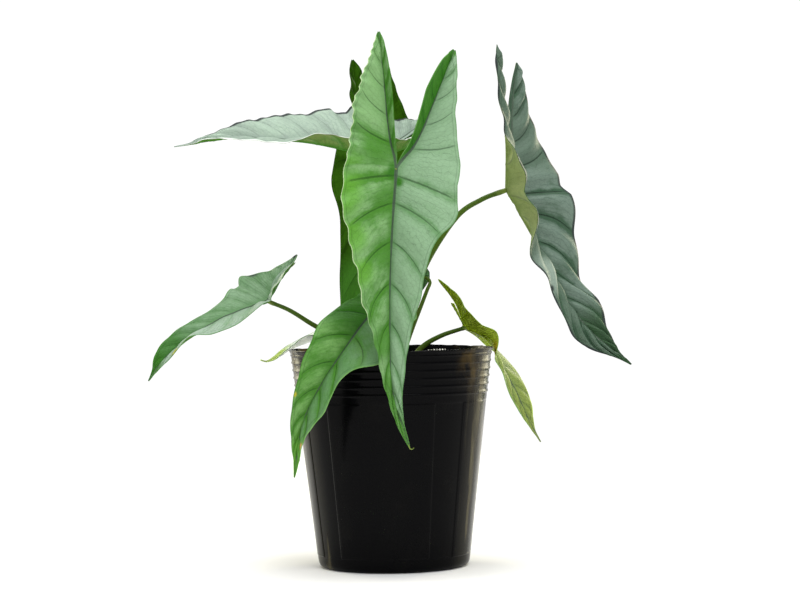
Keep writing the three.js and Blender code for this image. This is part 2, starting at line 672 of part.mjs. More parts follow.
function piece(name, geometry, finish) {
  const shaded = geometry.index ? geometry.toNonIndexed() : geometry;
  shaded.computeVertexNormals();
  const mesh = new THREE.Mesh(shaded, new THREE.MeshStandardMaterial(FINISH[finish]));
  mesh.name = name;
  return mesh;
}

const group = new THREE.Group();
group.add(piece('pot', makePot(), 'pot'));
group.add(piece('potting_mix', makePottingMix(), 'mix'));
group.add(piece('stem_base', makeStemBase(), 'stem'));
for (const [name, leaf] of Object.entries(LEAVES)) {
  group.add(piece(`petiole_${name}`, makePetiole(leaf), 'petiole'));
  group.add(piece(`blade_${name}`, bladeSolid(leaf), BLADE_FINISH[name]));
}

export default group;
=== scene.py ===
import math

import bmesh
import bpy
import numpy as np
from mathutils import Matrix, Vector


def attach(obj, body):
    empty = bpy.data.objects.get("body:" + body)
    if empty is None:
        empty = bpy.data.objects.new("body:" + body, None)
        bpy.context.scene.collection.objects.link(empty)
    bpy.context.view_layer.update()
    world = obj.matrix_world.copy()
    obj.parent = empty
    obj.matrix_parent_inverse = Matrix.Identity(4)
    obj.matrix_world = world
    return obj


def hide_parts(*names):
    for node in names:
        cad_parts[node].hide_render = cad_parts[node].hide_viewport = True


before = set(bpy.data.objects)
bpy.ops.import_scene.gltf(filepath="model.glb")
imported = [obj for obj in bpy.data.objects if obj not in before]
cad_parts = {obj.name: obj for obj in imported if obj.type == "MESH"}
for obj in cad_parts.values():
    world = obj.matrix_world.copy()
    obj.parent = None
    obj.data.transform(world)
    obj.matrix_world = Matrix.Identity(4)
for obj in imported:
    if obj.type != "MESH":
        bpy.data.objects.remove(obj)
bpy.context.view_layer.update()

bl_info = {
    "name": "Potted Dragon's Breath Alocasia",
    "version": (1, 0, 0),
    "blender": (4, 5, 0),
    "location": "View3D > Sidebar > Alocasia",
    "description": "Builds a potted arrow-leaved house plant and its nursery pot, piece by piece",
    "category": "Add Mesh",
}

# Shapes are stated in millimetres, as a pot maker or a grower would, and one factor turns them into
# Blender's metres. +Z is up, the origin is the centre of the pot's flat base, and -Y is the front.
MM = 0.001
BODY = "root"
SEED = 7

# The photograph: its width in pixels, and the camera that fits it.
PHOTO_WIDTH = 800
FOCAL_PIXELS = 2432
SENSOR_WIDTH = 36.0
CAMERA_PLACE = (7.2 * MM, -1800 * MM, 215.7 * MM)
CAMERA_PITCH = 0.0107485
CAMERA_ROLL = math.radians(-0.9)

# The stage, in metres: half the floor's width, what the lights look at, and the lights: place, width and
# height, which power they have, and whether they are tinted.
FLOOR_REACH = 1.15
PLANT_MIDDLE = (0, 0, 0.2)
LIGHTS = (
    ("top_light", (0, 0, 2.2), (1.6, 1.6), "top_power", False),
    ("key_light", (0.5, -1.2, 1.7), (0.9, 0.9), "key_power", False),
    ("left_light", (-0.96, 1.15, 0.4), (0.5, 1.2), "side_power", True),
    ("right_light", (0.96, 1.15, 0.4), (0.5, 1.2), "side_power", True),
)

# The nursery pot: radius and height of its rounded foot, its straight taper from foot to shoulder, the
# thin flared lip, and the inner wall. The lip wavers up and down and in and out, each with waves stated
# by their number and size. PANEL_PLACES are degrees from a panel's edge.
POT_FOOT = ((50.2, 0.0), (52.4, 0.3), (53.6, 0.8), (54.8, 1.8), (55.5, 3.0), (55.9, 4.4))
POT_FOOT_RADIUS = 56.2
POT_FOOT_HEIGHT = 6.0
POT_SHOULDER_RADIUS = 74.1
POT_SHOULDER_HEIGHT = 157.0
POT_TOP = 161.5
POT_LIP = ((74.3, 157.6), (74.7, 158.6), (75.3, 159.6), (75.8, 160.5), (75.9, 161.1), (75.5, POT_TOP))
POT_LIP_INSIDE = ((74.9, POT_TOP), (74.5, 160.9), (73.9, 159.6), (73.3, 158.2))
POT_INSIDE_FOOT = 5.0
BASE_RINGS = (0.0, 12, 25, 37, 45)
WALL_LEVELS = (
    6, 7.5, 8.8, 9.4, 9.6, 9.8, 10.0, 10.2, 10.4, 10.8, 12, *np.linspace(16, 118, 22),
    121, 122, 122.2, 122.4, 122.6, 122.8, 124.5, *np.linspace(126.4, 157, 67),
)
INSIDE_LEVELS = (157, 150, 142, 120, 90, 60, 30, POT_INSIDE_FOOT)
POT_INSIDE_ROUNDING = 3.0
POT_INSIDE_BEND = (0.9, 3.2)
POT_SHARP = 38
LIP_SINK = 0.9
LIP_HEIGHT_WAVES = ((3, 0.3), (7, 0.2), (19, 0.3), (43, 0.35), (71, 0.3))
LIP_SPREAD_WAVES = ((2, 0.3), (5, 0.3), (13, 0.25), (31, 0.3))
RIB_LOWEST = 128.9
RIB_SPACING = 5.6
RIB_COUNT = 6
RIB_HALF_HEIGHT = 1.3
PANEL_COUNT = 16
PANEL_BOTTOM = 9.6
PANEL_TOP = 122.0
PANEL_BEVEL = 0.8
PANEL_EDGE = 1.2
PANEL_TURN = 3.4
PANEL_PLACES = (-1.6, -1.2, -0.8, -0.4, 0, 0.4, 0.8, 1.2, 1.6, 4, 7.5, 11.25, 15, 18.5)
BEAD_DEGREES = 0.4
BEAD_HEIGHT = 0.35
HOLE_COUNT = 6
HOLE_RADIUS = 5.0
HOLE_RING = 37.0
HOLE_CUT = 6.0

# The potting mix: its level, its plain edge and its clearance to the wall, and the rings of its sides
# and its top, where the heaps die out at the rim and at the very centre. Each size of heap has a
# closeness, a height and its row of the random phases.
MIX_LEVEL = 142.0
MIX_SINK = 0.8
MIX_EDGE = 3.0
MIX_RIM_DROP = 1.2
MIX_RIM_SHARE = 0.05
MIX_CENTRE_SHARE = 0.02
MIX_TOP_SHARES = (0.985, 0.965, *np.linspace(0.94, 0.0, 52))
MIX_SIDE_LEVELS = (POT_INSIDE_FOOT, 50, 100, MIX_LEVEL - MIX_EDGE)
MIX_CLEARANCE = 0.5
MIX_FLOOR = 2.3
MIX_SIDES = 180
HEAPS = ((0.09, 0.7, 2), (0.21, 0.5, 0), (0.47, 0.35, 5), (0.9, 0.22, 6))

# Bark chips and perlite grains: least and greatest length, width and height, how bumpy and how tilted
# they are, and the dents that make them angular. They keep clear of the stem and are sunk in a little.
# A few small grains lie in a row on the lip, stated in degrees round the pot.
CHIP_SIZES = ((2.5, 6), (1.6, 3.6), (0.7, 1.7))
GRAIN_SIZES = ((0.8, 1.8), (0.8, 1.6), (0.7, 1.3))
CHIP_BUMPS = 0.05
GRAIN_BUMPS = 0.08
CHIP_TILT = 0.5
GRAIN_TILT = 3
CHIP_SHARP = 35
LUMP_DENTS = 7
DENT_REACH = (0.55, 0.85)
DENT_DEPTH = 0.95
LUMP_SINK = 0.6
STEM_CLEAR = 17
LIP_GRAIN_SIZES = (0.35, 0.85)
LIP_GRAINS = 7
LIP_GRAINS_FROM = -69
LIP_GRAINS_APART = 1.7
LIP_GRAIN_RADIUS = 75.0
LIP_GRAIN_LEVEL = 161.3

# The stem base: radius and height from the bottom up, the leaf scars and the faint flutes round it, and
# its dry sheaths.
STEM_PROFILE = (
    (12.5, 118), (15.6, 124), (16, 136), (15.2, 139), (16, 142), (15.3, 145.5), (13.6, 149), (8, 152.4),
)
STEM_TOP = 153.0
STEM_SIDES = 96
STEM_ROWS = 90
STEM_INSET = 0.3
FLUTE_COUNT = 7
FLUTE_DEPTH = 0.15
SCAR_RATE = 1.9
SCAR_WANDER = 0.8
SHEATH_COUNT = 6
SHEATH_GRID = (9, 13)
SHEATH_FOOT = 139.5
SHEATH_HEIGHTS = (6, 10)
SHEATH_RADIUS = 16.1
SHEATH_HALF_ANGLE = 0.42
SHEATH_THICKNESS = 0.35

# Every stalk: the share of its radius that is left at its top, the swelling there, and the sheath at
# its foot with a channel between two wings. A drip tip may end in a hook, a thin tapering tube.
PETIOLE_TAPER = 0.62
PETIOLE_SIDES = 24
PETIOLE_STEP = 2.0
PETIOLE_LEAST_STEPS = 12
SWELLING = 0.16
SWELLING_AT = 0.965
SWELLING_LENGTH = 0.02
SHEATH_SHARE = 0.4
CHANNEL_DEPTH = 0.16
CHANNEL_ANGLE = 0.5
WING_HEIGHT = 0.22
WING_AT = 0.9
WING_ANGLE = 0.3
HOOK_ROWS = 15
HOOK_SIDES = 10
HOOK_RADIUS = 0.55
HOOK_TAPER = 0.35

# Every blade: how far a half bulges between rib and margin, the angle by which its rows lean towards the
# tips, the share of the midrib over which directions turn at the sinus, the web that closes it, and how
# the waves drift along a margin. A place along a leaf goes from -1 at a lobe's tip over 0 at the sinus to
# 1 at the leaf's tip: STATIONS, INNER_AT and WAVE_AT are such places.
ARCH_DEGREES = 16.0
ARCH_CENTRE = 0.45
ARCH_POWER = 1.3
ARCH_STEPS = 96
SWEEP_DEGREES = 25.0
TURN_SHARE = 0.09
WEB_LENGTH = 3.0
WEB_AT = 8.0
SINUS_SHARE = 0.38
LEAST_WIDTH = 0.4
FLAT_UNDER = 5.0
WAVE_DRIFT = 1.3
WAVE_DRIFT_RATE = 5.0
STATIONS = (-1, -0.85, -0.6, -0.35, -0.12, 0.08, 0.25, 0.42, 0.6, 0.78, 0.92, 1)
LOBE_TIP_WIDTH = 0.8
LEAF_TIP_WIDTH = 0.6
INNER_AT = (-1, -0.85, -0.6, -0.35, -0.15, 0)
INNER_WIDTH = (1, 6, 9, 9, 6, 3)
INNER_FROM_VEIN = 9.0
INNER_PITCH = 20.0
WAVE_AT = (-1, -0.8, -0.3, 0.5, 0.85, 1)
WAVE_SHARE = (0.1, 0.8, 1, 1, 0.5, 0)
WELD_WITHIN = 1e-4
CURVE_STEPS = 200

# The places where the side veins leave the ribs. They bend towards the tips as they go out, by the share
# VEIN_BEND of the rib, and less near the sinus. Each of the rounds comes nearer to the vein's foot.
SIDE_VEINS = (-0.92, -0.76, -0.58, -0.38, -0.18, 0.03, 0.13, 0.27, 0.42, 0.56, 0.69, 0.8, 0.89, 0.96)
BEFORE_FIRST_VEIN = -1.4
AFTER_LAST_VEIN = 1.1
VEIN_BEND = 0.11
VEIN_BEND_POWER = 1.7
VEIN_BEND_TURN = 0.25
VEIN_BEND_ROUNDS = 30

# Relief of a blade: half-widths of ribs and veins, the scallops of the margin and the quilting between
# side veins, both weaker where there is little room, and how far from its margin the blade thins.
RIB_HALF_WIDTH = 1.75
RIB_AT_SINUS = 1.05
RIB_TAPER = 0.8
THICKEST_FOOT = 2.8
KEEL_HALF_WIDTH = 1.3
RIDGE_HEIGHT = 0.22
RIDGE_HALF_WIDTH = 0.7
GROOVE_HALF_WIDTH = 0.9
SCALLOP = 1.3
SCALLOP_FULL_AT = 40
PUFF_POWER = 0.7
PUFF_FULL_AT = 18
THIN_MARGIN = 2.5

# Colours laid on a blade: a margin's colour takes up at most EDGE_SHARE of a half, and fades off along
# the leaf and inwards. A mark fades out at MARK_REACH of its radius, and one with a radius over
# BROAD_MARK is drawn a little weaker.
EDGE_SHARE = 0.12
EDGE_FADE = 0.2
EDGE_BLUR = 0.4
MARK_REACH = 1.5
BROAD_MARK = 9
BROAD_MARK_STRENGTH = 0.85

# Rows to a millimetre of rib, columns from rib to margin, columns of the strip inside a lobe, and the
# share of the lobe over which that strip runs into the web.
DETAIL = {
    "large": {"row": 0.95, "columns": 30, "inner": 10, "web_row": 1 / 12},
    "small": {"row": 0.8, "columns": 20, "inner": 7, "web_row": 1 / 7},
}


def look(deep, pale, edge, silver, edge_width=0.75, edge_until=1.3):
    """Colours beside the veins, between them and at the margin, and how silvery a face is.

    The margin's colour is edge_width millimetres wide and ends at the place edge_until on the midrib.
    """
    return {
        "deep": deep, "pale": pale, "edge": edge, "silver": silver,
        "edge_width": edge_width, "edge_until": edge_until,
    }


# The leaves. midrib runs from the sinus to the tip, and lobes are the ribs from the sinus to the two lobe
# tips. up and lobe_up say which way the upper face looks along them. width and fold are given for the
# left and the right half, seen from above with the tip down: half-widths and degrees above flat at
# STATIONS. ripple is each margin's wave: height, number and phase, and frill a finer one. inner has the
# width and fold of the strips inside the lobes, and web how far the sinus is closed. petiole runs from
# the stem base to the sinus, and hook is the line of a curled drip tip. The looks upper and under name
# the colours of both faces, half by half, and inner_look those of the upper face inside the lobes. lines
# is how plainly the side veins show, bend how far they bend, and puff how strongly the blade is quilted.
# marks are soft spots: face, half, place along the leaf, place from rib to margin, radius at which half
# of the colour is left, and colour.
LEAVES = {
    "front": {
        "size": "large",
        "slot": "leaf_fresh_green",
        "midrib": [[6, -78, 291], [2, -90, 240], [0, -98, 190], [1, -103, 135], [12, -104, 95]],
        "lobes": [
            [[1, -74, 318], [-2, -67, 355], [-5, -58, 389]],
            [[21, -73, 310], [35, -66, 341], [49, -57, 375]],
        ],
        "up": [[0.05, -1, 0.25], [0, -1, 0.1], [0, -1, 0.05]],
        "lobe_up": [[0.2, -1, 0.3], [-0.1, -1, 0.3]],
        "width": [
            [7.5, 19, 29, 34.5, 43.5, 34, 24.5, 13.5, 6, 3.5],
            [7.5, 16, 24.5, 39.5, 50, 35, 27, 17, 9, 2],
        ],
        "fold": [[25] * 10, [18, 15, 13, 12, 17, 28, 28, 28, 26, 26]],
        "ripple": [[1.3, 9, 0.5], [0.8, 8, 1]],
        "frill": [[1.9, 27, 0.3], [0.3, 22, 1]],
        "inner": [[0.9, 55], [1.5, 55]],
        "petiole": [[-6.7, -8, 144], [-13, -15, 185], [-20, -27, 222], [-14, -52, 262]],
        "foot_radius": 2.8,
        # The right half is made more silvery than the left: partly the leaf's own sheen, partly painted
        # reflection of the light that glances off that half.
        "upper": [
            look("leaf", "haze", "cream", 0.42, edge_width=0.5, edge_until=0.62),
            look("moss", "silver", "moss", 0.75),
        ],
        "under": [look("bottle", "forest", "leaf", 0.5)] * 2,
        "inner_look": [
            look("leaf", "haze", "leaf", 0.35, edge_width=0.4),
            # The right lobe's inner strip is painted darker green: painted shade in the fold there.
            look("grass", "leaf", "fresh", 0.3, edge_width=0.4),
        ],
        "lines": 0.75,
        "hook": [
            [11.6, -104, 96.5], [12, -104, 95], [12.6, -104, 93.6], [14, -104.2, 93.2],
            [15.4, -104.3, 94.2],
        ],
        "puff": 1.4,
        "marks": [
            ["upper", "both", 1, 0.5, 24, "leaf"], ["upper", 0, -0.55, 0.6, 30, "haze"],
            ["upper", 1, -0.45, 0.6, 32, "silver"], ["upper", 0, -1, 0.5, 5, "grass"],
            ["upper", 1, -1, 0.5, 5, "leaf"], ["upper", 0, 0.08, 0.95, 13, "lush"],
            ["upper", 0, 0.22, 0.95, 11, "lush"], ["upper", 0, 0.35, 0.95, 10, "lush"],
            ["upper", 0, 0.12, 0.2, 11, "leaf"], ["upper", 0, 0.3, 0.2, 11, "leaf"],
            ["upper", 0, 0.62, 0.5, 11, "leaf"], ["upper", 0, 0.8, 0.5, 13, "leaf"],
            ["upper", 0, -0.1, 0.4, 12, "leaf"], ["upper", 0, 0.02, 0.08, 4.5, "grass"],
            ["upper", 1, 0.05, 0.06, 3.5, "grass"],
        ],
    },
    "back": {
        "size": "large",
        "slot": "leaf_dark_green",
        "midrib": [[-14, 60, 311], [-18, 82, 250], [-16, 97, 180], [-5, 104, 98]],
        "lobes": [[[-9, 53, 348], [-6, 40, 385]], [[-21, 53, 345], [-26, 42, 378]]],
        "up": [[0.25, 1, 0.3], [0.15, 1, 0.2], [0, 1, 0]],
        "lobe_up": [[0.2, 1, 0.3], [0.3, 1, 0.3]],
        "width": [
            [7.5, 14.5, 23, 34, 41.5, 39.5, 31.5, 20.5, 10.5, 3.5],
            [5.5, 10, 14.5, 25.5, 35.5, 27, 27, 28, 12, 3],
        ],
        "fold": [[21, 22, 21, 21, 20, 20, 20, 20, 20, 20], [33, 35, 33, 26, 20, 20, 19, 16, 17, 19]],
        "ripple": [[1.5, 9, 0.5], [1.2, 8, 1]],
        "inner": [[1, 30]] * 2,
        "web": 7,
        "petiole": [[-1.2, 5.6, 144], [-5, 20, 200], [-11, 40, 262]],
        "foot_radius": 2.8,
        "upper": [look("moss", "silver", "leaf", 0.6)] * 2,
        "under": [look("bottle", "forest", "bottle", 0.5)] * 2,
        "marks": [["under", "both", 0.5, 0.5, 26, "leaf"]],
    },
    "upper_left": {
        "size": "large",
        "slot": "leaf_silver_green",
        "midrib": [[-15, 2, 305], [-35, -4, 309], [-64, -14, 314], [-111, -30, 316], [-154, -42, 310]],
        "lobes": [[[6, 20, 314], [28, 36, 330]], [[8, -4, 307], [30, -6, 317]]],
        "up": [[0.1, -0.35, 0.93], [-0.05, -0.35, 0.93], [-0.1, -0.3, 0.95]],
        "lobe_up": [[0.3, -0.3, 0.93], [0.3, -0.2, 0.93]],
        "width": [
            [8.5, 18.5, 30.5, 45, 45, 35.5, 27.5, 17.5, 8.5, 2.5],
            [8, 16.5, 24, 29.5, 31, 28, 23, 15.5, 8, 2.5],
        ],
        "fold": [[22, 23, 27, 29, 22, 19, 23, 28, 25, 19], [23, 29, 33, 34, 32, 27, 9, 6, 21, 34]],
        "ripple": [[0.8, 9, 0.5], [0.7, 8, 1]],
        "frill": [[0.5, 26, 0.3], [0.3, 22, 1]],
        "inner": [[1, 30]] * 2,
        "petiole": [[-4, -1.2, 144], [-8, 3, 200], [-14, 4, 262]],
        "foot_radius": 2.8,
        "upper": [
            look("lichen", "mint", "plum", 0.6, edge_width=2.6),
            look("lichen", "mint", "frost", 0.6, edge_width=1.3),
        ],
        "lines": 0.2,
        "puff": 1.2,
        "under": [
            look("leaf", "sage", "plum", 0.5),
            look("leaf", "sage", "bark", 0.5),
        ],
    },
    "lower_front": {
        "size": "large",
        "slot": "leaf_fresh_green",
        "midrib": [
            [-3, -46, 196], [-18, -63, 182], [-33, -77, 162], [-50, -82, 137],
            [-63, -79, 110], [-70, -70, 72],
        ],
        "lobes": [[[7, -38, 211], [21, -28, 232]], [[11, -44, 202], [20, -40, 206]]],
        "up": [[-0.2, -0.8, 0.75], [-0.12, -1, 0.4], [-0.35, -1, 0.1]],
        "lobe_up": [[-0.2, -0.7, 0.8], [-0.1, -0.7, 0.8]],
        "width": [
            [9.5, 16, 18.5, 19.5, 20, 27, 23, 15, 7.5, 2.5],
            [4, 9, 16, 31, 40.5, 39.5, 21.5, 17.5, 8, 2.5],
        ],
        "fold": [[15, 15, 14, 14, 20, 28, 25, 22, 20, 18], [16, 16, 16, 14, 12, 12, 35, 29, 36, 40]],
        "ripple": [[0.5, 9, 0.5], [0.8, 7, 1]],
        "frill": [[0.25, 22, 0.3], [0.2, 22, 1]],
        "inner": [[0.6, 30]] * 2,
        "web": 6,
        "petiole": [[0, -10.5, 144], [1, -20, 168], [0, -34, 187]],
        "foot_radius": 2.6,
        "upper": [
            look("leaf", "fresh", "leaf", 0.35),
            look("leaf", "moss", "fresh", 0.6),
        ],
        "lines": 0.7,
        "puff": 1.3,
        "under": [look("bottle", "forest", "leaf", 0.5)] * 2,
        "marks": [
            ["upper", "both", 0.95, 0.5, 22, "lush"], ["upper", 0, 0.12, 0.4, 22, "grass"],
            ["upper", 0, 0.6, 1, 1.8, "yellow"], ["upper", 1, 0.83, 1, 2.5, "ochre"],
        ],
    },
    "right": {
        "size": "large",
        "slot": "leaf_silver_green",
        "midrib": [
            [88, 14, 277], [102, 11, 251], [115, 6, 226], [130, -2, 194], [149, -12, 169],
            [175, -26, 147],
        ],
        "lobes": [
            [[88, 3, 306], [86, -8, 335], [83, -15, 360], [81, -20, 382]],
            [[92, 26, 307], [94, 36, 342], [98, 42, 374]],
        ],
        "up": [[0.79, -0.26, 0.5], [0.76, -0.45, 0.5], [0.5, -0.75, 0.5]],
        "lobe_up": [[0.95, -0.5, 0.1], [0.95, -0.4, 0.1]],
        "width": [
            [11, 22.5, 31.5, 39.5, 43.5, 41.5, 34, 23.5, 12, 3.5],
            [11, 21.5, 31, 42, 47, 37.5, 28.5, 24.5, 12, 3],
        ],
        "fold": [[9, 8, 8, 23, 28, 3, 12, 2, -30, -30], [15, 17, 23, 36, 47, 31, 18, 32, 25, 3]],
        "ripple": [[1, 9, 0.5], [0.8, 9, 1]],
        "inner": [[0.45, 10], [0.55, -15]],
        "petiole": [[4.5, -2.5, 144], [15, -5, 189], [27, 1, 223], [50, 8, 257], [69, 11, 270]],
        "foot_radius": 2.8,
        "upper": [
            look("pine", "slate", "plum", 0.5, edge_width=1.2),
            look("pine", "steel", "plum", 0.55, edge_width=2.2),
        ],
        "under": [look("sage", "straw", "leaf", 0.6)] * 2,
        "inner_look": [look("pine", "slate", "plum", 0.4)] * 2,
        "bend": 0.2,
        "puff": 3.0,
        "marks": [
            ["upper", 0, 0.38, 0.8, 17, "lichen"], ["upper", 0, 0.45, 0.97, 2.5, "plum"],
            ["upper", 1, 0.86, 0.6, 34, "dusk"], ["upper", 1, -0.4, 0.5, 26, "slate"],
            ["upper", 0, 0.98, 0.5, 12, "dusk"],
        ],
    },
    "left": {
        "size": "small",
        "slot": "leaf_silver_green",
        "midrib": [
            [-90, -10, 197], [-102, -18, 193], [-123, -27, 185], [-145, -33, 172],
            [-164, -36, 157], [-176, -37, 141],
        ],
        "lobes": [
            [[-83, 0, 211], [-75, 8, 222], [-69, 13, 231]],
            [[-84, -14, 208], [-77, -13, 217], [-70, -8, 225]],
        ],
        "up": [[-0.3, -0.65, 0.75], [-0.4, -0.7, 0.6], [-0.6, -0.7, 0.4]],
        "lobe_up": [[-0.5, -0.6, 0.6], [-0.5, -0.6, 0.6]],
        "width": [
            [4.5, 10.5, 19, 30.5, 25, 16.5, 13, 13, 9.5, 3],
            [6, 12.5, 18, 22.5, 24.5, 22.5, 18, 12, 6.5, 2],
        ],
        "fold": [[8, 5, 8, 15, 14, 8, 7, 17, 26, 27], [45, 39, 34, 38, 32, 12, 15, 46, 10, 1]],
        "ripple": [[0.5, 7, 0.5], [0.5, 6, 1]],
        "inner": [[0.5, 30]] * 2,
        "petiole": [[-10.3, -1.8, 144], [-34, -6, 168], [-55, -8, 178], [-74, -9, 190]],
        "foot_radius": 2.3,
        "upper": [
            look("moss", "silver", "leaf", 0.6),
            look("silver", "mint", "moss", 0.75),
        ],
        "lines": 0.2,
        "under": [look("leaf", "straw", "leaf", 0.4)] * 2,
        "marks": [
            ["upper", 0, 0.8, 0.5, 24, "grass"], ["upper", 0, 0.88, 0.5, 9, "grass"],
            ["upper", 1, 0.95, 0.5, 12, "leaf"], ["upper", 1, 0.72, 1, 3, "yellow"],
            ["upper", 0, -1, 0.5, 4, "plum"], ["upper", 0, -0.25, 1, 3, "plum"],
        ],
    },
    "back_left": {
        "size": "small",
        "slot": "leaf_pale_green",
        "midrib": [
            [-46, 38, 167], [-60, 52, 166], [-76, 64, 160], [-88, 70, 153], [-96, 72, 150],
            [-101, 74, 151],
        ],
        "lobes": [[[-40, 34, 173], [-34, 30, 182]], [[-38, 28, 168], [-31, 18, 171]]],
        "up": [[-0.2, -0.4, 0.85], [-0.3, -0.6, 0.7], [-0.5, -0.5, 0.7]],
        "lobe_up": [[-0.5, -0.5, 0.7], [-0.4, -0.4, 0.8]],
        "width": [[4, 8, 11.5, 14, 14, 12, 9, 6, 3.5, 1], [3.5, 7.5, 10.5, 13, 14, 12.5, 10, 6.5, 3.5, 1]],
        "fold": [[20, 21, 20, 19, 14, 6, 3, 6, 14, 20], [40, 41, 41, 42, 42, 41, 38, 33, 27, 24]],
        "ripple": [[0.4, 5, 0.5], [0.4, 4, 1]],
        "inner": [[0.5, 30]] * 2,
        "web": 4,
        "petiole": [[-6.7, 8, 144], [-26, 22, 156], [-42, 35, 161]],
        "foot_radius": 2.1,
        "upper": [look("frost", "frost", "moss", 0.9)] * 2,
        "under": [look("frost", "frost", "moss", 0.9)] * 2,
        "lines": 0.15,
        "marks": [["upper", "both", 0.85, 0.5, 16, "lime"], ["upper", 0, -0.1, 1, 3, "plum"]],
    },
    "low_right": {
        "size": "small",
        "slot": "leaf_pale_green",
        "midrib": [
            [56, 12, 175], [63, 18, 172], [71, 24, 167], [79, 29, 157], [85, 31, 142],
            [94, 32, 124], [103, 29, 103], [111, 25, 88],
        ],
        "lobes": [[[49, 10, 193], [36, 6, 211]], [[51, 17.5, 184], [45.5, 21, 193]]],
        "up": [[0.35, 0, 0.93], [0.6, -0.3, 0.7], [0.75, -0.6, 0.3], [0.7, -0.6, 0.25], [0.7, -0.6, 0.25]],
        "lobe_up": [[0.8, 0.35, 0.5], [0.8, 0.1, 0.5]],
        "width": [
            [5, 10.5, 14.5, 18, 18, 14, 12.5, 10, 5.5, 2],
            [4, 9, 14, 20, 23, 23.5, 21, 13, 6, 1.5],
        ],
        "fold": [[7, 5, 2, 9, 25, -10, 19, 2, -5, 6], [13, 14, 13, 6, -8, -22, -7, 5, 28, 19]],
        "ripple": [[0.4, 5, 0.5], [0.4, 5, 1]],
        "inner": [[0.6, 10], [0.6, 30]],
        "petiole": [[9.9, 3.6, 144], [22, 8, 160], [37, 10, 169]],
        "foot_radius": 2.3,
        "upper": [
            look("sage", "celery", "fresh", 0.7),
            look("sage", "celery", "lime", 0.6),
        ],
        "lines": 0.5,
        "under": [look("olive", "lime", "lime", 0.5)] * 2,
        "marks": [["under", 0, 0.2, 1, 6, "yellow"], ["under", "both", 0.98, 0.5, 7, "yellow"]],
    },
    "inner": {
        "size": "small",
        "slot": "leaf_silver_green",
        "midrib": [[21, 31.5, 212], [14, 34, 199], [7, 35, 186], [-1, 36, 171]],
        "lobes": [[[22.7, 30, 217], [25, 27, 223]], [[14, 31, 219], [9, 29, 228]]],
        "up": [[0.2, 0.95, 0.2], [0.1, 0.95, 0.1], [0, 0.95, 0.1]],
        "lobe_up": [[0.2, 0.9, 0.3], [0, 0.9, 0.2]],
        "width": [[2.5, 5, 7.5, 8.5, 8, 6.5, 8, 7, 4, 1.5], [2.5, 5, 7, 8, 8.5, 9, 9, 7.5, 4.5, 1.5]],
        "fold": [[10, 12, 15, 18, 20, 20, 20, 19, 19, 20], [10, 12, 15, 18, 20, 20, 20, 19, 19, 20]],
        "ripple": [[0.4, 5, 0.5], [0.4, 5, 1]],
        "inner": [[0.4, 20]] * 2,
        "web": 2,
        "petiole": [
            [4.6, 5.2, 144], [14.5, 13, 171], [23.5, 21, 193],
            [28, 25, 204], [30, 27.5, 209], [27, 29.5, 212.5],
        ],
        "foot_radius": 2,
        "upper": [look("moss", "silver", "moss", 0.7)] * 2,
        "under": [look("moss", "lichen", "slate", 0.7)] * 2,
        "marks": [["under", 0, 0.3, 0.95, 1.4, "plum"], ["under", 0, 0.1, 0.95, 1.4, "plum"]],
    },
}


def linear(code):
    """A colour as Blender wants it, from the six digits that a screen would show."""
    shown = [int(code[i:i + 2], 16) / 255 for i in (0, 2, 4)]
    return [c / 12.92 if c <= 0.04045 else ((c + 0.055) / 1.055) ** 2.4 for c in shown] + [1.0]


def colour_property(name, description, code):
    """A colour that a user can change."""
    return bpy.props.FloatVectorProperty(
        name=name, description=description, subtype="COLOR", size=4, min=0, max=1, default=linear(code),
    )


def length_property(name, description, millimetres):
    """A length that a user can change."""
    return bpy.props.FloatProperty(
        name=name, description=description, default=millimetres * MM, min=0, unit="LENGTH", precision=5,
    )


def share_property(name, description, default):
    """A share from 0 to 1 that a user can change."""
    return bpy.props.FloatProperty(
        name=name, description=description, default=default, min=0, max=1, subtype="FACTOR",
    )


def power_property(name, description, watts):
    """A light's power that a user can change."""
    return bpy.props.FloatProperty(name=name, description=description, default=watts, min=0, unit="POWER")


class PotSettings(bpy.types.PropertyGroup):
    """Sizes and finish of the nursery pot and what fills it."""

    wall: length_property("Wall", "Thickness of the moulded wall", 1.4)
    floor: length_property("Floor", "Thickness of the pot's floor", 2.0)
    rib_depth: length_property("Rib depth", "How far the ribs under the lip stand out", 0.6)
    panel_depth: length_property("Panel depth", "How far every second panel stands proud", 0.25)
    bead: length_property("Panel bead", "Height of the fine line round each panel", 0.22)
    nick: length_property("Lip nicks", "How ragged the thin lip is", 0.8)
    plastic: colour_property("Plastic", "Colour of the moulded plastic", "040405")
    soil_stain: colour_property("Soil stain", "Dried soil washed over the lip", "6f5a2e")
    # Painted reflection: the olive sheen on the side panels is laid as colour, standing in for the side
    # lights glancing off the satin plastic.
    painted_sheen: colour_property("Film", "Thin film that dried on the side panels", "645e44")
    gloss: share_property("Roughness", "How blurred reflections in the plastic are", 0.2)
    peat: colour_property("Peat", "Fine part of the potting mix", "2c2017")
    chip: colour_property("Bark", "Bark chips in the potting mix", "6a4a30")
    grain: colour_property("Perlite", "White grains in the potting mix", "e8e6df")
    chip_count: bpy.props.IntProperty(
        name="Bark chips", description="Number of bark chips on the mix", default=300, min=0, max=600,
    )


class PlantSettings(bpy.types.PropertyGroup):
    """Sizes of the leaves and the stem."""

    thickness: length_property("Blade thickness", "Thickness of a blade between its veins", 0.7)
    margin: length_property("Margin thickness", "Thickness of a blade at its margin", 0.35)
    keel: length_property("Keel", "How far the ribs stand out below the blade", 0.9)
    quilting: length_property("Quilting", "How far the blade puffs up between its side veins", 1.3)
    groove: length_property("Vein groove", "How deep the side veins are sunk from above", 0.5)
    scars: length_property("Leaf scars", "Depth of the rings round the stem base", 0.35)
    roughness: share_property("Roughness", "How blurred reflections in the leaves are", 0.42)


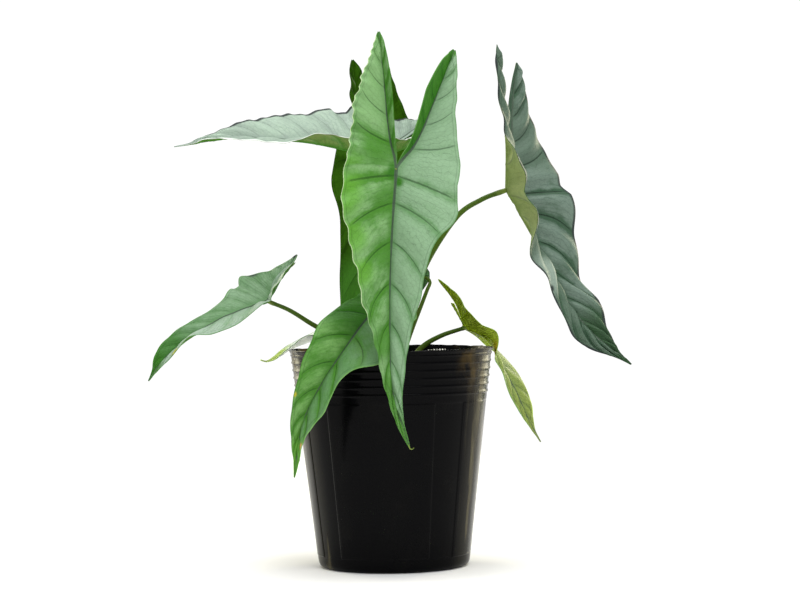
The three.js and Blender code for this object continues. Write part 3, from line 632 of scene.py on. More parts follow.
class Palette(bpy.types.PropertyGroup):
    """Colours of the leaves, stalks and stem."""

    leaf: colour_property("Leaf green", "Vivid green beside the veins", "467f2a")
    lush: colour_property("Lush green", "Vivid green along the front leaf's margin", "5c9a30")
    dusk: colour_property("Dusky green", "Dark tip of the leaf at the right", "264724")
    grass: colour_property("Grass green", "Darker vivid green", "34701c")
    fresh: colour_property("Fresh green", "Light green between the veins", "75a55c")
    moss: colour_property("Moss green", "Green under the silver sheen", "5f8a58")
    silver: colour_property("Silver green", "Silvery sheen between the veins", "84a581")
    lichen: colour_property("Lichen grey", "Grey-green of silvery leaves", "8c9d90")
    mint: colour_property("Mint", "Palest silvery green", "a5baa7")
    frost: colour_property("Frost", "Nearly white margin", "e8f0e6")
    slate: colour_property("Slate green", "Dull grey-green", "566a5a")
    pine: colour_property("Pine green", "Dark grey-green beside the veins", "3a5540")
    sage: colour_property("Sage", "Pale dull green", "7d9150")
    celery: colour_property("Celery", "Pale yellow-green", "93a552")
    bottle: colour_property("Bottle green", "Dark green of an old leaf's underside", "284c07")
    forest: colour_property("Forest green", "Green of an old leaf's underside", "366110")
    steel: colour_property("Steel green", "Sheen on dark grey-green leaves", "6a7d70")
    straw: colour_property("Straw green", "Pale yellow-green underside", "95a568")
    olive: colour_property("Olive green", "Olive underside of a young leaf", "a0bf24")
    lime: colour_property("Lime", "Vivid yellow-green underside of a young leaf", "bfda4a")
    yellow: colour_property("Yellow", "Yellowed margin", "c3b52c")
    ochre: colour_property("Ochre", "Dried margin", "c49a55")
    cream: colour_property("Cream", "Pale rippled margin", "cbe0af")
    plum: colour_property("Plum", "Dark purple-grey margin", "2c3533")
    bark: colour_property("Brown", "Brownish margin", "6d6350")
    rib: colour_property("Rib", "Grey upper side of the midrib", "4b5a4c")
    haze: colour_property("Hazy green", "Light green under a thin silvery sheen", "80a970")
    shade: colour_property("Vein shade", "What the green is darkened by along the veins", "808c84")
    petiole: colour_property("Petiole", "Stalks", "466010")
    petiole_pale: colour_property("Pale petiole", "Stalks near their base", "8f9f4a")
    stem: colour_property("Stem", "Stem base", "6d6a3f")
    sheath: colour_property("Old sheath", "Dry sheaths round the stem base", "8a6a45")


class StageSettings(bpy.types.PropertyGroup):
    """Floor, light and background."""

    floor: colour_property("Floor", "Plain pale floor", "fcfcfc")
    backdrop: colour_property("Background", "Plain pale background", "ffffff")
    side_light: colour_property("Side light", "Tint of the light from both sides", "dcd5b4")
    top_power: power_property("Top light", "Power of the large light overhead", 36)
    key_power: power_property("Key light", "Power of the light in front", 14)
    side_power: power_property("Side lights", "Power of each light at the side", 18)


class Shader:
    """A material or a world that is put together by short calls."""

    def __init__(self, name, kind="materials", surface="Principled BSDF", **finish):
        self.owner = getattr(bpy.data, kind).new(name)
        self.owner.use_nodes = True
        self.nodes = self.owner.node_tree.nodes
        self.links = self.owner.node_tree.links
        self.surface = self.nodes[surface]
        for socket, value in finish.items():
            self.surface.inputs[socket.replace("_", " ")].default_value = value

    def node(self, kind, inputs=(), **settings):
        made = self.nodes.new("ShaderNode" + kind)
        for name, value in settings.items():
            setattr(made, name, value)
        for name, value in dict(inputs).items():
            self.feed(made.inputs[name], value)
        return made

    def feed(self, socket, value):
        if isinstance(value, bpy.types.NodeSocket):
            self.links.new(value, socket)
        else:
            socket.default_value = value

    def math(self, operation, *values):
        return self.node("Math", enumerate(values), operation=operation).outputs[0]

    def plus(self, first, second):
        return self.math("ADD", first, second)

    def minus(self, first, second):
        return self.math("SUBTRACT", first, second)

    def times(self, first, *others):
        """The product of two or more values."""
        for other in others:
            first = self.math("MULTIPLY", first, other)
        return first

    def mix(self, share, first, second, mode="MIX"):
        made = self.node("Mix", {0: share, 6: first, 7: second}, data_type="RGBA", blend_type=mode)
        return made.outputs[2]

    def fade(self, value, start, end, low=0.0, high=1.0):
        """A smooth change from low to high as the value goes from start to end."""
        inputs = {"Value": value, "From Min": start, "From Max": end, "To Min": low, "To Max": high}
        return self.node("MapRange", inputs, interpolation_type="SMOOTHSTEP").outputs["Result"]

    def noise(self, scale, detail, vector, roughness=0.5):
        inputs = {"Scale": scale, "Detail": detail, "Roughness": roughness, "Vector": vector}
        return self.node("TexNoise", inputs).outputs["Fac"]

    def coordinate(self, kind="Object"):
        return self.node("TexCoord").outputs[kind]

    def stretch(self, vector, scale):
        return self.node("Mapping", {"Vector": vector, "Scale": scale}).outputs["Vector"]

    def split(self, vector):
        return self.node("SeparateXYZ", {"Vector": vector}).outputs[:]

    def attribute(self, name, output="Fac"):
        return self.node("Attribute", attribute_name=name).outputs[output]

    def bump(self, height, distance, strength=1.0):
        inputs = {"Height": height, "Distance": distance, "Strength": strength}
        self.feed(self.surface.inputs["Normal"], self.node("Bump", inputs).outputs["Normal"])

    def finish(self, colour, roughness):
        self.feed(self.surface.inputs["Base Color"], colour)
        self.feed(self.surface.inputs["Roughness"], roughness)
        return self.owner


def plastic_material(pot):
    """Black moulded plastic: flow streaks, dust, a streaky painted olive reflection at both sides and soil
    by the lip.
    """
    shader = Shader("black_pot_plastic", Specular_IOR_Level=0.05)
    place = shader.coordinate()
    x, y, height = shader.split(place)
    sideways = shader.math("ABSOLUTE", x)
    radius = shader.math("SQRT", shader.plus(shader.times(x, x), shader.times(y, y)))
    turned = shader.math("DIVIDE", sideways, radius)
    streak = shader.noise(90, 4, shader.stretch(place, (1, 1, 0.05)))
    blotch = shader.noise(45, 2, shader.stretch(place, (1, 1, 0.4)))
    dust = shader.noise(35, 6, place, 0.65)
    # Painted reflection: a streaky olive sheen laid as colour where the wall turns away to the left and
    # right, standing in for the side lights glancing off the plastic.
    painted_sheen = shader.times(
        shader.fade(turned, 0.76, 0.86),
        shader.fade(turned, 0.92, 0.98, 1, 0),
        shader.fade(streak, 0.5, 0.64, 0.05, 0.5),
    )
    soil = shader.times(
        shader.fade(height, 0.118, 0.158),
        shader.fade(blotch, 0.42, 0.6),
        shader.fade(sideways, 0.045, 0.06),
        shader.fade(dust, 0.4, 0.6),
    )
    colour = shader.mix(shader.fade(dust, 0.5, 0.9, 0, 0.03), pot.plastic, linear("5a574c"))
    colour = shader.mix(painted_sheen, colour, pot.painted_sheen)
    colour = shader.mix(shader.times(soil, 0.55), colour, pot.soil_stain)
    rough = shader.fade(streak, 0.3, 0.8, pot.gloss - 0.05, pot.gloss + 0.1)
    shader.bump(streak, 0.12 * MM, 0.5)
    return shader.finish(colour, shader.plus(rough, shader.times(soil, 0.45)))


def mix_material(pot):
    """Dark, crumbly peat."""
    shader = Shader("peat_mix", Specular_IOR_Level=0.2)
    place = shader.coordinate()
    fine = shader.noise(900, 6, place, 0.7)
    broad = shader.noise(70, 3, place)
    crumb = shader.mix(shader.fade(fine, 0.35, 0.7), linear("150f0a"), pot.peat)
    colour = shader.mix(shader.fade(broad, 0.5, 0.75, 0, 0.5), crumb, linear("4d3a28"))
    shader.bump(fine, 0.9 * MM)
    return shader.finish(colour, shader.fade(broad, 0.3, 0.7, 0.85, 0.98))


def chip_material(name, colour, dark):
    """Bark or perlite, each piece a little different, with grain or pores."""
    shader = Shader(name, Specular_IOR_Level=0.2)
    grain = shader.noise(420, 5, shader.stretch(shader.coordinate(), (1, 1, 2.5)), 0.65)
    base = shader.mix(shader.fade(grain, 0.35, 0.65), dark, colour)
    varied = shader.mix(shader.times(shader.attribute("tone"), 0.6), base, dark)
    shader.bump(grain, 0.6 * MM)
    return shader.finish(varied, shader.fade(grain, 0.3, 0.7, 0.75, 0.95))


def stem_material(palette):
    """Olive stem base with darker scars and fine corky speckles."""
    shader = Shader("stem_base_skin", Specular_IOR_Level=0.3)
    place = shader.coordinate()
    band = shader.noise(130, 4, shader.stretch(place, (0.3, 0.3, 3)))
    speckle = shader.noise(700, 4, place)
    base = shader.mix(shader.fade(band, 0.4, 0.65), palette.stem, linear("4a3f28"))
    colour = shader.mix(shader.fade(speckle, 0.6, 0.75, 0, 0.6), base, linear("9a8f62"))
    shader.bump(band, 0.6 * MM)
    return shader.finish(colour, shader.fade(speckle, 0.3, 0.8, 0.55, 0.8))


def sheath_material(palette):
    """Thin, dry, fibrous sheath."""
    shader = Shader("dry_sheath", Specular_IOR_Level=0.25)
    fibre = shader.noise(500, 5, shader.stretch(shader.coordinate(), (1, 1, 0.12)), 0.6)
    colour = shader.mix(shader.fade(fibre, 0.3, 0.7), linear("4b3822"), palette.sheath)
    shader.bump(fibre, 0.4 * MM)
    return shader.finish(colour, shader.fade(fibre, 0.3, 0.7, 0.6, 0.85))


def petiole_material(palette, roughness):
    """Smooth green stalk, paler at its foot and at its top, with faint streaks and mottling."""
    shader = Shader("petiole_skin", Specular_IOR_Level=0.15)
    along = shader.attribute("along")
    streak = shader.noise(9, 4, shader.coordinate("UV"))
    mottle = shader.noise(260, 4, shader.coordinate(), 0.6)
    green = palette.petiole
    for share, laid in (
        (shader.fade(along, 0.0, 0.45, 1, 0), palette.petiole_pale),
        (shader.fade(along, 0.93, 1.0, 0, 0.7), palette.celery),
        (shader.fade(streak, 0.4, 0.7, 0, 0.35), palette.bottle),
        (shader.fade(mottle, 0.58, 0.7, 0, 0.35), linear("4a4a2a")),
    ):
        green = shader.mix(share, green, laid)
    shader.bump(streak, 0.15 * MM, 0.6)
    return shader.finish(green, shader.fade(mottle, 0.3, 0.7, roughness - 0.05, roughness + 0.1))


def vein_lines(shader, across, count, pitch, half_width):
    """Lines where the side-vein coordinate times count is whole, and the distance to the nearest."""
    part = shader.math("FRACT", shader.times(across, count))
    share = shader.minus(0.5, shader.math("ABSOLUTE", shader.minus(part, 0.5)))
    distance = shader.math("DIVIDE", shader.times(share, pitch), count)
    return shader.fade(shader.math("DIVIDE", distance, half_width), 0.5, 1.6, 1, 0), distance


def leaf_material(name, palette, roughness, lines, upper):
    """A leaf face: sheen between the veins, green beside them, painted shade just tipward of the side
    veins, fine veins, midrib and pores.

    The mesh carries two colours, how silvery the place is, and distances in millimetres.
    """
    shader = Shader(name, Specular_IOR_Level=0.15 if upper else 0.015)
    place, coordinate = shader.coordinate(), shader.coordinate("UV")
    side, outward, _ = shader.split(coordinate)
    rib, edge, pitch = shader.split(shader.attribute("gauge", "Vector"))
    deep, pale = shader.attribute("deep", "Color"), shader.attribute("pale", "Color")

    # The net of veins: side veins, their branches, the one that runs along the margin, and the finest.
    wander = shader.times(shader.minus(shader.noise(150, 2, place), 0.5), 0.3)
    line, distance = vein_lines(shader, side, 1.0, pitch, shader.fade(outward, 0.0, 0.9, 0.7, 0.3))
    branch, _ = vein_lines(shader, shader.plus(side, wander), 6.0, pitch, 0.22)
    kept = shader.fade(outward, 0.84, 0.97, 1, 0)
    line = shader.times(line, kept, lines)
    branch = shader.times(branch, kept)
    collector = shader.fade(shader.math("ABSOLUTE", shader.minus(edge, 2.4)), 0.1, 0.5, 1, 0)
    cells = shader.node("TexVoronoi", {"Vector": place, "Scale": 280.0}, feature="DISTANCE_TO_EDGE")
    net = shader.fade(cells.outputs["Distance"], 0.02, 0.1, 1, 0)

    # The silvery sheen: each field shifts it by its weight, from a middle at which it changes nothing.
    mottle = shader.noise(130, 4, place, 0.6)
    streak = shader.noise(1.0, 3, shader.stretch(coordinate, (11, 5, 1)))
    # Painted shade: a band just tipward of each side vein, darkened towards the deep green and made less
    # silvery, stands in for the shade of the quilted blade.
    painted_vein_shade = shader.fade(shader.math("FRACT", side), 0.0, 0.4, 1, 0)
    share = shader.attribute("pale", "Alpha")
    for field, middle, weight in (
        (shader.noise(30, 2, place), 0.5, 1.6),
        (mottle, 0.5, 1.1),
        (streak, 0.5, 0.8),
        (shader.fade(distance, 0.0, 5.0), 0.7, 0.1 + 0.7 * lines),
        (painted_vein_shade, 0.2, -0.3 * lines),
    ):
        share = shader.plus(share, shader.times(shader.minus(field, middle), weight))
    colour = shader.mix(shader.fade(share, 0.0, 1.0), deep, pale)

    dark = shader.mix(1.0, deep, palette.shade, "MULTIPLY")
    # Laid over it: painted shade just tipward of each side vein, then the veins, the green beside the
    # midrib and the midrib.
    for field, strength, laid in (
        (painted_vein_shade, 0.3 * lines, deep),
        (shader.times(branch, mottle), 0.35, dark),
        (net, 0.12, dark),
        (collector, 0.3, dark),
        (line, 0.85 if upper else 0.4, dark),
        (shader.fade(rib, 1.0, 4.5, 1, 0), 0.6, deep),
        (shader.fade(rib, 0.8, 1.05, 1, 0), 0.85, palette.rib if upper else deep),
    ):
        colour = shader.mix(shader.times(field, strength), colour, laid)

    height = shader.times(shader.plus(branch, shader.times(net, 0.4)), -0.4)
    height = shader.plus(height, shader.times(streak, 0.7))
    height = shader.plus(height, shader.times(shader.noise(1500, 2, place), 0.2))
    shader.bump(height, (0.35 if upper else 0.2) * MM, 0.7)
    return shader.finish(colour, shader.fade(share, 0.0, 1.2, roughness - 0.06, roughness + 0.12))


def floor_material(stage):
    """A plain matt floor, the least bit uneven in tone."""
    shader = Shader("pale_floor", Specular_IOR_Level=0.2)
    faint = shader.noise(3, 2, shader.coordinate())
    uneven = shader.mix(shader.times(faint, 0.04), stage.floor, linear("e9e9e9"))
    return shader.finish(uneven, 0.9)


def smoothstep(value):
    """0 up to 0 and 1 from 1 on, with a soft change between them."""
    value = np.clip(value, 0, 1)
    return value * value * (3 - 2 * value)


def smooth_span(first, last, leaving, arriving, w):
    """The way from first to last as w goes from 0 to 1, with the slopes that it has at both ends."""
    away = first * (1 + 2 * w) * (1 - w) ** 2 + leaving * w * (1 - w) ** 2
    return away + last * w * w * (3 - 2 * w) - arriving * w * w * (1 - w)


def smooth_line(xs, ys, x):
    """Values at x on the smooth line through the points (xs, ys)."""
    xs, ys = np.asarray(xs, float), np.asarray(ys, float)
    last = len(xs) - 1
    before = np.maximum(np.arange(last + 1) - 1, 0)
    after = np.minimum(np.arange(last + 1) + 1, last)
    slope = (ys[after] - ys[before]) / (xs[after] - xs[before])
    at = np.clip(x, xs[0], xs[-1])
    i = np.clip(np.searchsorted(xs, at, side="right") - 1, 0, last - 1)
    step = xs[i + 1] - xs[i]
    return smooth_span(ys[i], ys[i + 1], step * slope[i], step * slope[i + 1], (at - xs[i]) / step)


def unit(vectors):
    """The vectors at length 1."""
    return vectors / np.maximum(np.linalg.norm(vectors, axis=-1, keepdims=True), 1e-12)


class Curve:
    """A smooth curve through points, read by the distance along it."""

    def __init__(self, points):
        points = np.array(points, float)
        ends = np.vstack([2 * points[0] - points[1], points, 2 * points[-1] - points[-2]])
        w = np.linspace(0, 1, CURVE_STEPS, endpoint=False)[:, None]
        spans = [
            smooth_span(b, c, 0.5 * (c - a), 0.5 * (d - b), w)
            for a, b, c, d in zip(ends, ends[1:], ends[2:], ends[3:])
        ]
        self.points = np.vstack([*spans, points[-1:]])
        steps = np.linalg.norm(np.diff(self.points, axis=0), axis=1)
        self.reached = np.concatenate([[0], np.cumsum(steps)])
        self.length = self.reached[-1]

    def at(self, distance):
        """The points at distances along the curve."""
        return np.stack([np.interp(distance, self.reached, self.points[:, k]) for k in range(3)], -1)


def new_object(name, points, faces, materials, node):
    """A smooth-shaded piece of the part, in metres from points in millimetres."""
    mesh = bpy.data.meshes.new(name)
    mesh.from_pydata((np.asarray(points) * MM).tolist(), [], [list(map(int, f)) for f in faces])
    mesh.shade_smooth()
    made = bpy.data.objects.new(name, mesh)
    bpy.context.scene.collection.objects.link(made)
    for material in materials:
        mesh.materials.append(material)
    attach(made, BODY)
    if node:
        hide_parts(node)
    return made


def add_attribute(made, name, kind, values):
    """Stores one value for each point of a piece, for its material to read."""
    field = {"FLOAT": "value", "FLOAT_VECTOR": "vector", "FLOAT_COLOR": "color"}[kind]
    attribute = made.data.attributes.new(name, kind, "POINT")
    attribute.data.foreach_set(field, np.asarray(values, np.float32).ravel())


def grid_faces(rows, columns, first=0, wrap=False):
    """Quads of a grid of points, row by row. A wrapped grid's last column joins its first."""
    ids = first + np.arange(rows * columns).reshape(rows, columns)
    if wrap:
        ids = np.hstack([ids, ids[:, :1]])
    return np.stack([ids[:-1, :-1], ids[:-1, 1:], ids[1:, 1:], ids[1:, :-1]], -1).reshape(-1, 4)


def frames_along(points, hint):
    """Two sideways directions at each point of a line, which don't twist along it."""
    tangents = unit(np.gradient(points, axis=0))
    sides = []
    side = np.array(hint, float)
    for tangent in tangents:
        side = unit(side - tangent * side.dot(tangent))
        sides.append(side)
    return np.array(sides), np.cross(tangents, sides)


def ring(radius, angles, height):
    """Points round the upright axis."""
    return np.stack(np.broadcast_arrays(radius * np.cos(angles), radius * np.sin(angles), height), -1)


def around(count):
    """Angles evenly round a circle."""
    return np.linspace(0, 2 * math.pi, count, endpoint=False)


def tube(name, centres, hint, radii, material, node):
    """A closed tube along a line of points, from its radius at each of them in each direction."""
    rows, sides = radii.shape
    side, across = frames_along(centres, hint)
    angle = around(sides)
    points = centres[:, None] + (radii * np.cos(angle))[..., None] * side[:, None]
    points += (radii * np.sin(angle))[..., None] * across[:, None]
    faces = [list(face) for face in grid_faces(rows, sides, wrap=True)]
    faces.append(list(range(sides))[::-1])
    faces.append([(rows - 1) * sides + k for k in range(sides)])
    return new_object(name, points.reshape(-1, 3), faces, [material], node)


def apply_modifiers(made):
    """Gives a piece the mesh that its modifiers make of it, and takes them off."""
    bpy.context.view_layer.update()
    shaped = made.evaluated_get(bpy.context.evaluated_depsgraph_get())
    mesh = bpy.data.meshes.new_from_object(shaped)
    made.modifiers.clear()
    made.data = mesh


class Half:
    """One half of a leaf: its lobe's rib behind the sinus and the midrib ahead of it."""

    def __init__(self, leaf, half):
        self.leaf = leaf
        self.half = half
        self.midrib = Curve(leaf["midrib"])
        self.rib = Curve([leaf["midrib"][0], *leaf["lobes"][half]])
        self.turn = TURN_SHARE * self.midrib.length

    def point(self, s):
        return np.where(s[:, None] < 0, self.rib.at(-s), self.midrib.at(s))

    def rows(self, t):
        """The foot of each row on the rib, the way up, and the ways out to the two margins."""
        leaf = self.leaf
        s = t * np.where(t < 0, self.rib.length, self.midrib.length)
        foot = self.point(s)
        along = unit(self.point(s + self.turn) - self.point(s - self.turn))
        at = [-1, *np.linspace(0, 1, len(leaf["up"]))]
        ups = np.array([leaf["lobe_up"][self.half], *leaf["up"]], float)
        up = np.stack([smooth_line(at, ups[:, axis], t) for axis in range(3)], -1)
        up = unit(up - along * (up * along).sum(-1, keepdims=True))
        out = np.cross(along, up) * (1 if self.half == 0 else -1)
        sweep = math.radians(SWEEP_DEGREES) * np.tanh(s / self.turn)[:, None]
        swept = np.cos(sweep) * out + np.sin(sweep) * along
        inward = -np.cos(sweep) * out + np.sin(sweep) * along
        return foot, up, swept, inward, s

    def width(self, t):
        """Distance from rib to outer margin at each place along the leaf."""
        stated = [LOBE_TIP_WIDTH, *self.leaf["width"][self.half], LEAF_TIP_WIDTH]
        return np.maximum(smooth_line(STATIONS, stated, t), LEAST_WIDTH)

    def fold(self, t):
        """Degrees by which the half is folded up at each place along the leaf."""
        stated = self.leaf["fold"][self.half]
        return smooth_line(STATIONS, [stated[0], *stated, stated[-1]], t)

    def wave(self, t, kind):
        """How far the margin's ripple or frill lifts it at each place along the leaf."""
        height, waves, phase = self.leaf.get(kind, [[0, 1, 0]] * 2)[self.half]
        strength = np.clip(smooth_line(WAVE_AT, WAVE_SHARE, t), 0, 1)
        drift = WAVE_DRIFT * np.sin(WAVE_DRIFT_RATE * t + phase)
        return height * strength * np.sin(math.pi * waves * (t + 1) + phase + drift)


def vein_coordinate(leaf, t, v):
    """Counts the side veins along a rib, from where each leaves it, for places that lie further out."""
    bend = leaf.get("bend", VEIN_BEND) * v ** VEIN_BEND_POWER
    foot = t
    for _ in range(VEIN_BEND_ROUNDS):
        foot = t - bend * np.tanh(foot / VEIN_BEND_TURN)
    starts = np.concatenate([[BEFORE_FIRST_VEIN], SIDE_VEINS, [AFTER_LAST_VEIN]])
    return np.interp(foot, starts, np.arange(len(starts)))


def patch_fields(half, points, t, v, across, width, from_vein, pitch):
    """A patch's points, with what its finish needs to know at each of them."""
    away = width[:, None] * v
    return {
        "half": half.half,
        "points": points,
        "across": across,
        "outward": v,
        "t": t,
        "scale": np.where(t < 0, half.rib.length, half.midrib.length),
        "from_rib": away,
        "from_edge": width[:, None] - away,
        "from_vein": from_vein,
        "pitch": pitch,
    }


def outer_patch(half, t, v, plant):
    """A blade's half from rib to outer margin."""
    foot, up, swept, _, s = half.rows(t)
    width = half.width(t)
    scallop = np.sin(math.pi * vein_coordinate(half.leaf, t, np.ones_like(t))) ** 2 - 0.5
    width = width + SCALLOP * scallop * np.minimum(width / SCALLOP_FULL_AT, 1)
    fold = np.radians(half.fold(t))
    slim = np.minimum(width / FLAT_UNDER, 1)

    def tilt(share):
        arch = math.radians(ARCH_DEGREES) * (ARCH_CENTRE - share ** ARCH_POWER)
        return slim[:, None] * (fold[:, None] + arch[None, :])

    angles = tilt((np.arange(ARCH_STEPS) + 0.5) / ARCH_STEPS)
    start = np.zeros((len(t), 1))
    place = v * ARCH_STEPS
    low = np.minimum(place.astype(int), ARCH_STEPS - 1)
    part = place - low
    points = foot[:, None]
    for step, direction in ((np.cos(angles), swept), (np.sin(angles), up)):
        reached = np.hstack([start, np.cumsum(step, 1) / ARCH_STEPS])
        reached = reached[:, low] * (1 - part) + reached[:, low + 1] * part
        points = points + (width[:, None] * reached)[..., None] * direction[:, None]
    normal = np.cos(tilt(v))[..., None] * up[:, None] - np.sin(tilt(v))[..., None] * swept[:, None]

    grid_t, grid_v = np.meshgrid(t, v, indexing="ij")
    across = vein_coordinate(half.leaf, grid_t, grid_v)
    steps = np.abs(np.gradient(vein_coordinate(half.leaf, t, 0 * t), s))
    pitch = np.repeat((1 / np.maximum(steps, 1e-3))[:, None], len(v), 1)
    from_vein = np.abs(across - np.round(across)) * pitch
    inside = np.sin(math.pi * np.clip(grid_v, 0, 1)) ** PUFF_POWER * slim[:, None]
    puff = plant.quilting / MM * half.leaf.get("puff", 1) * np.sin(math.pi * across) ** 2
    puff *= inside * np.minimum(pitch / PUFF_FULL_AT, 1)
    groove = plant.groove / MM * np.exp(-((from_vein / GROOVE_HALF_WIDTH) ** 2)) * inside
    wave = half.wave(t, "ripple")[:, None] * v ** 2 + half.wave(t, "frill")[:, None] * v ** 5
    points = points + (wave + puff - groove)[..., None] * normal
    return patch_fields(half, points, grid_t, grid_v, across, width, from_vein, pitch)


def inner_patch(half, other, t, v, web, web_row):
    """The strip between a lobe's rib and its inner margin, joined to the other lobe's by the web."""
    at = np.append(t, -web_row)
    foot, up, _, inward, s = half.rows(at)
    apart = np.linalg.norm(half.point(s) - other.point(s), axis=-1)
    scale, fold = half.leaf["inner"][half.half]
    width = np.minimum(scale * smooth_line(INNER_AT, INNER_WIDTH, at), SINUS_SHARE * apart)
    width = np.maximum(width, LEAST_WIDTH)
    fold = math.radians(fold) * np.minimum(width / FLAT_UNDER, 1)
    side = (width * np.cos(fold))[:, None] * inward + (width * np.sin(fold))[:, None] * up

    side, last_side, foot = side[:-1], side[-1:], foot[:-1]
    near = np.clip(1 + t / web_row, 0, 1)[:, None]
    side = np.where(near > 0, last_side * (1 - near) + (web - foot[-1]) * near, side)
    points = foot[:, None] + side[:, None] * v[None, :, None]
    grid_t, grid_v = np.meshgrid(t, v, indexing="ij")
    across = vein_coordinate(half.leaf, grid_t, grid_v)
    width = np.linalg.norm(side, axis=-1)
    plain = np.ones_like(across)
    return patch_fields(
        half, points, grid_t, grid_v, across, width, INNER_FROM_VEIN * plain, INNER_PITCH * plain,
    )


def spread(count):
    """Shares from 0 to 1, closer together at both ends."""
    return 0.5 - 0.5 * np.cos(np.linspace(0, math.pi, count + 1))


def blade_patches(leaf, plant):
    """The patches of a blade's middle surface, each with its quads, which look up."""
    detail = DETAIL[leaf["size"]]
    halves = [Half(leaf, 0), Half(leaf, 1)]
    sinus = np.array(leaf["midrib"][0], float)
    reach = np.array([-WEB_AT])
    web = sum(unit(half.point(reach)[0] - sinus) for half in halves)
    web = sinus + leaf.get("web", WEB_LENGTH) * unit(web)
    lobe_rows = round(detail["row"] * max(half.rib.length for half in halves))
    leaf_rows = round(detail["row"] * halves[0].midrib.length)
    behind = np.linspace(-1, 0, lobe_rows + 1)
    t = np.concatenate([behind[:-1], np.linspace(0, 1, leaf_rows + 1)])
    patches = []
    for half, other in (halves, halves[::-1]):
        outer = outer_patch(half, t, spread(detail["columns"]), plant)
        inner = inner_patch(half, other, behind, spread(detail["inner"]), web, detail["web_row"])
        for patch, flip in ((outer, half.half == 1), (inner, half.half == 0)):
            faces = grid_faces(*patch["t"].shape)
            patch["inner"] = patch is inner
            patch["faces"] = faces[:, ::-1] if flip else faces
            patches.append(patch)
    return patches


def paint(leaf, palette, patch, skin):
    """Two colours and the silver share at each point of a patch, with its margin and its marks."""
    inside = patch["inner"] and skin == "upper" and "inner_look" in leaf
    chosen = leaf["inner_look" if inside else skin][patch["half"]]
    shape = patch["t"].shape
    deep, pale = (
        np.broadcast_to(np.array(getattr(palette, chosen[kind]))[:3], (*shape, 3)).copy()
        for kind in ("deep", "pale")
    )

    def touch(strength, name):
        colour = np.array(getattr(palette, name))[:3]
        deep[:] += strength[..., None] * (colour - deep)
        pale[:] += strength[..., None] * (colour - pale)

    width = patch["from_rib"] + patch["from_edge"]
    for kind, half, t, v, radius, name in leaf.get("marks", ()):
        if kind == skin and half in ("both", patch["half"]) and not patch["inner"]:
            away = np.hypot((patch["t"] - t) * patch["scale"], (patch["outward"] - v) * width)
            full = BROAD_MARK_STRENGTH if radius > BROAD_MARK else 1
            touch(smoothstep(MARK_REACH - away / radius) * full, name)
    edge_width = np.minimum(chosen["edge_width"], EDGE_SHARE * width)
    lasting = smoothstep((chosen["edge_until"] - patch["t"]) / EDGE_FADE)
    touch(smoothstep((edge_width - patch["from_edge"]) / EDGE_BLUR) * lasting, chosen["edge"])
    return np.concatenate([deep, pale, np.full((*shape, 1), chosen["silver"])], -1)


def weld(patches, palette, leaf):
    """One mesh from the patches: shared points once, faces, and the fields of both skins."""
    faces = []
    first = 0
    for patch in patches:
        slimmer = min(1, leaf["foot_radius"] / THICKEST_FOOT)
        rib_width = RIB_HALF_WIDTH * (RIB_AT_SINUS - RIB_TAPER * np.abs(patch["t"])) * slimmer
        patch["gauge"] = np.stack([patch["from_rib"] / rib_width, patch["from_edge"], patch["pitch"]], -1)
        patch["upper"] = paint(leaf, palette, patch, "upper")
        patch["under"] = paint(leaf, palette, patch, "under")
        faces.append(patch["faces"] + first)
        first += patch["t"].size
    corners = np.concatenate(faces)
    fields = {}
    for key in ("points", "across", "outward", "from_rib", "from_vein", "t", "gauge", "upper", "under"):
        parts = [patch[key].reshape(patch["t"].size, -1) for patch in patches]
        fields[key] = np.concatenate(parts).squeeze()
    uv = np.stack([fields["across"], fields["outward"]], -1)[corners]
    keys = np.round(fields["points"] / WELD_WITHIN).astype(np.int64)
    _, kept, renamed = np.unique(keys, axis=0, return_index=True, return_inverse=True)
    faces = renamed.reshape(-1)[corners]
    whole = (faces != np.roll(faces, 1, axis=1)).all(1)
    fields = {key: values[kept] for key, values in fields.items()}
    return fields, faces[whole], uv[whole]


def thicken(fields, faces, plant):
    """Upper and lower points on both sides of a middle surface, and the quads that close its rim."""
    points = fields["points"]
    a, b, c, d = (points[faces[:, k]] for k in range(4))
    area = np.cross(c - a, d - b)
    normals = np.zeros_like(points)
    for k in range(4):
        np.add.at(normals, faces[:, k], area)
    normals = unit(normals)
    edge = fields["gauge"][:, 1]
    full = plant.thickness / MM / 2
    thin = plant.margin / MM / 2
    half = thin + (full - thin) * smoothstep(edge / THIN_MARGIN)
    keel = plant.keel / MM * (1 - np.abs(fields["t"]))
    keel *= np.exp(-((fields["from_rib"] / KEEL_HALF_WIDTH) ** 2))
    ridge = RIDGE_HEIGHT * np.exp(-((fields["from_vein"] / RIDGE_HALF_WIDTH) ** 2)) * smoothstep(edge / 4)
    upper = points + normals * half[:, None]
    lower = points - normals * (half + keel + ridge)[:, None]
    count = len(points)
    start = faces.ravel()
    end = np.roll(faces, -1, axis=1).ravel()
    twins = np.isin(start * count + end, end * count + start)
    start, end = start[~twins], end[~twins]
    rim = np.stack([end, start, start + count, end + count], -1)
    return upper, lower, rim


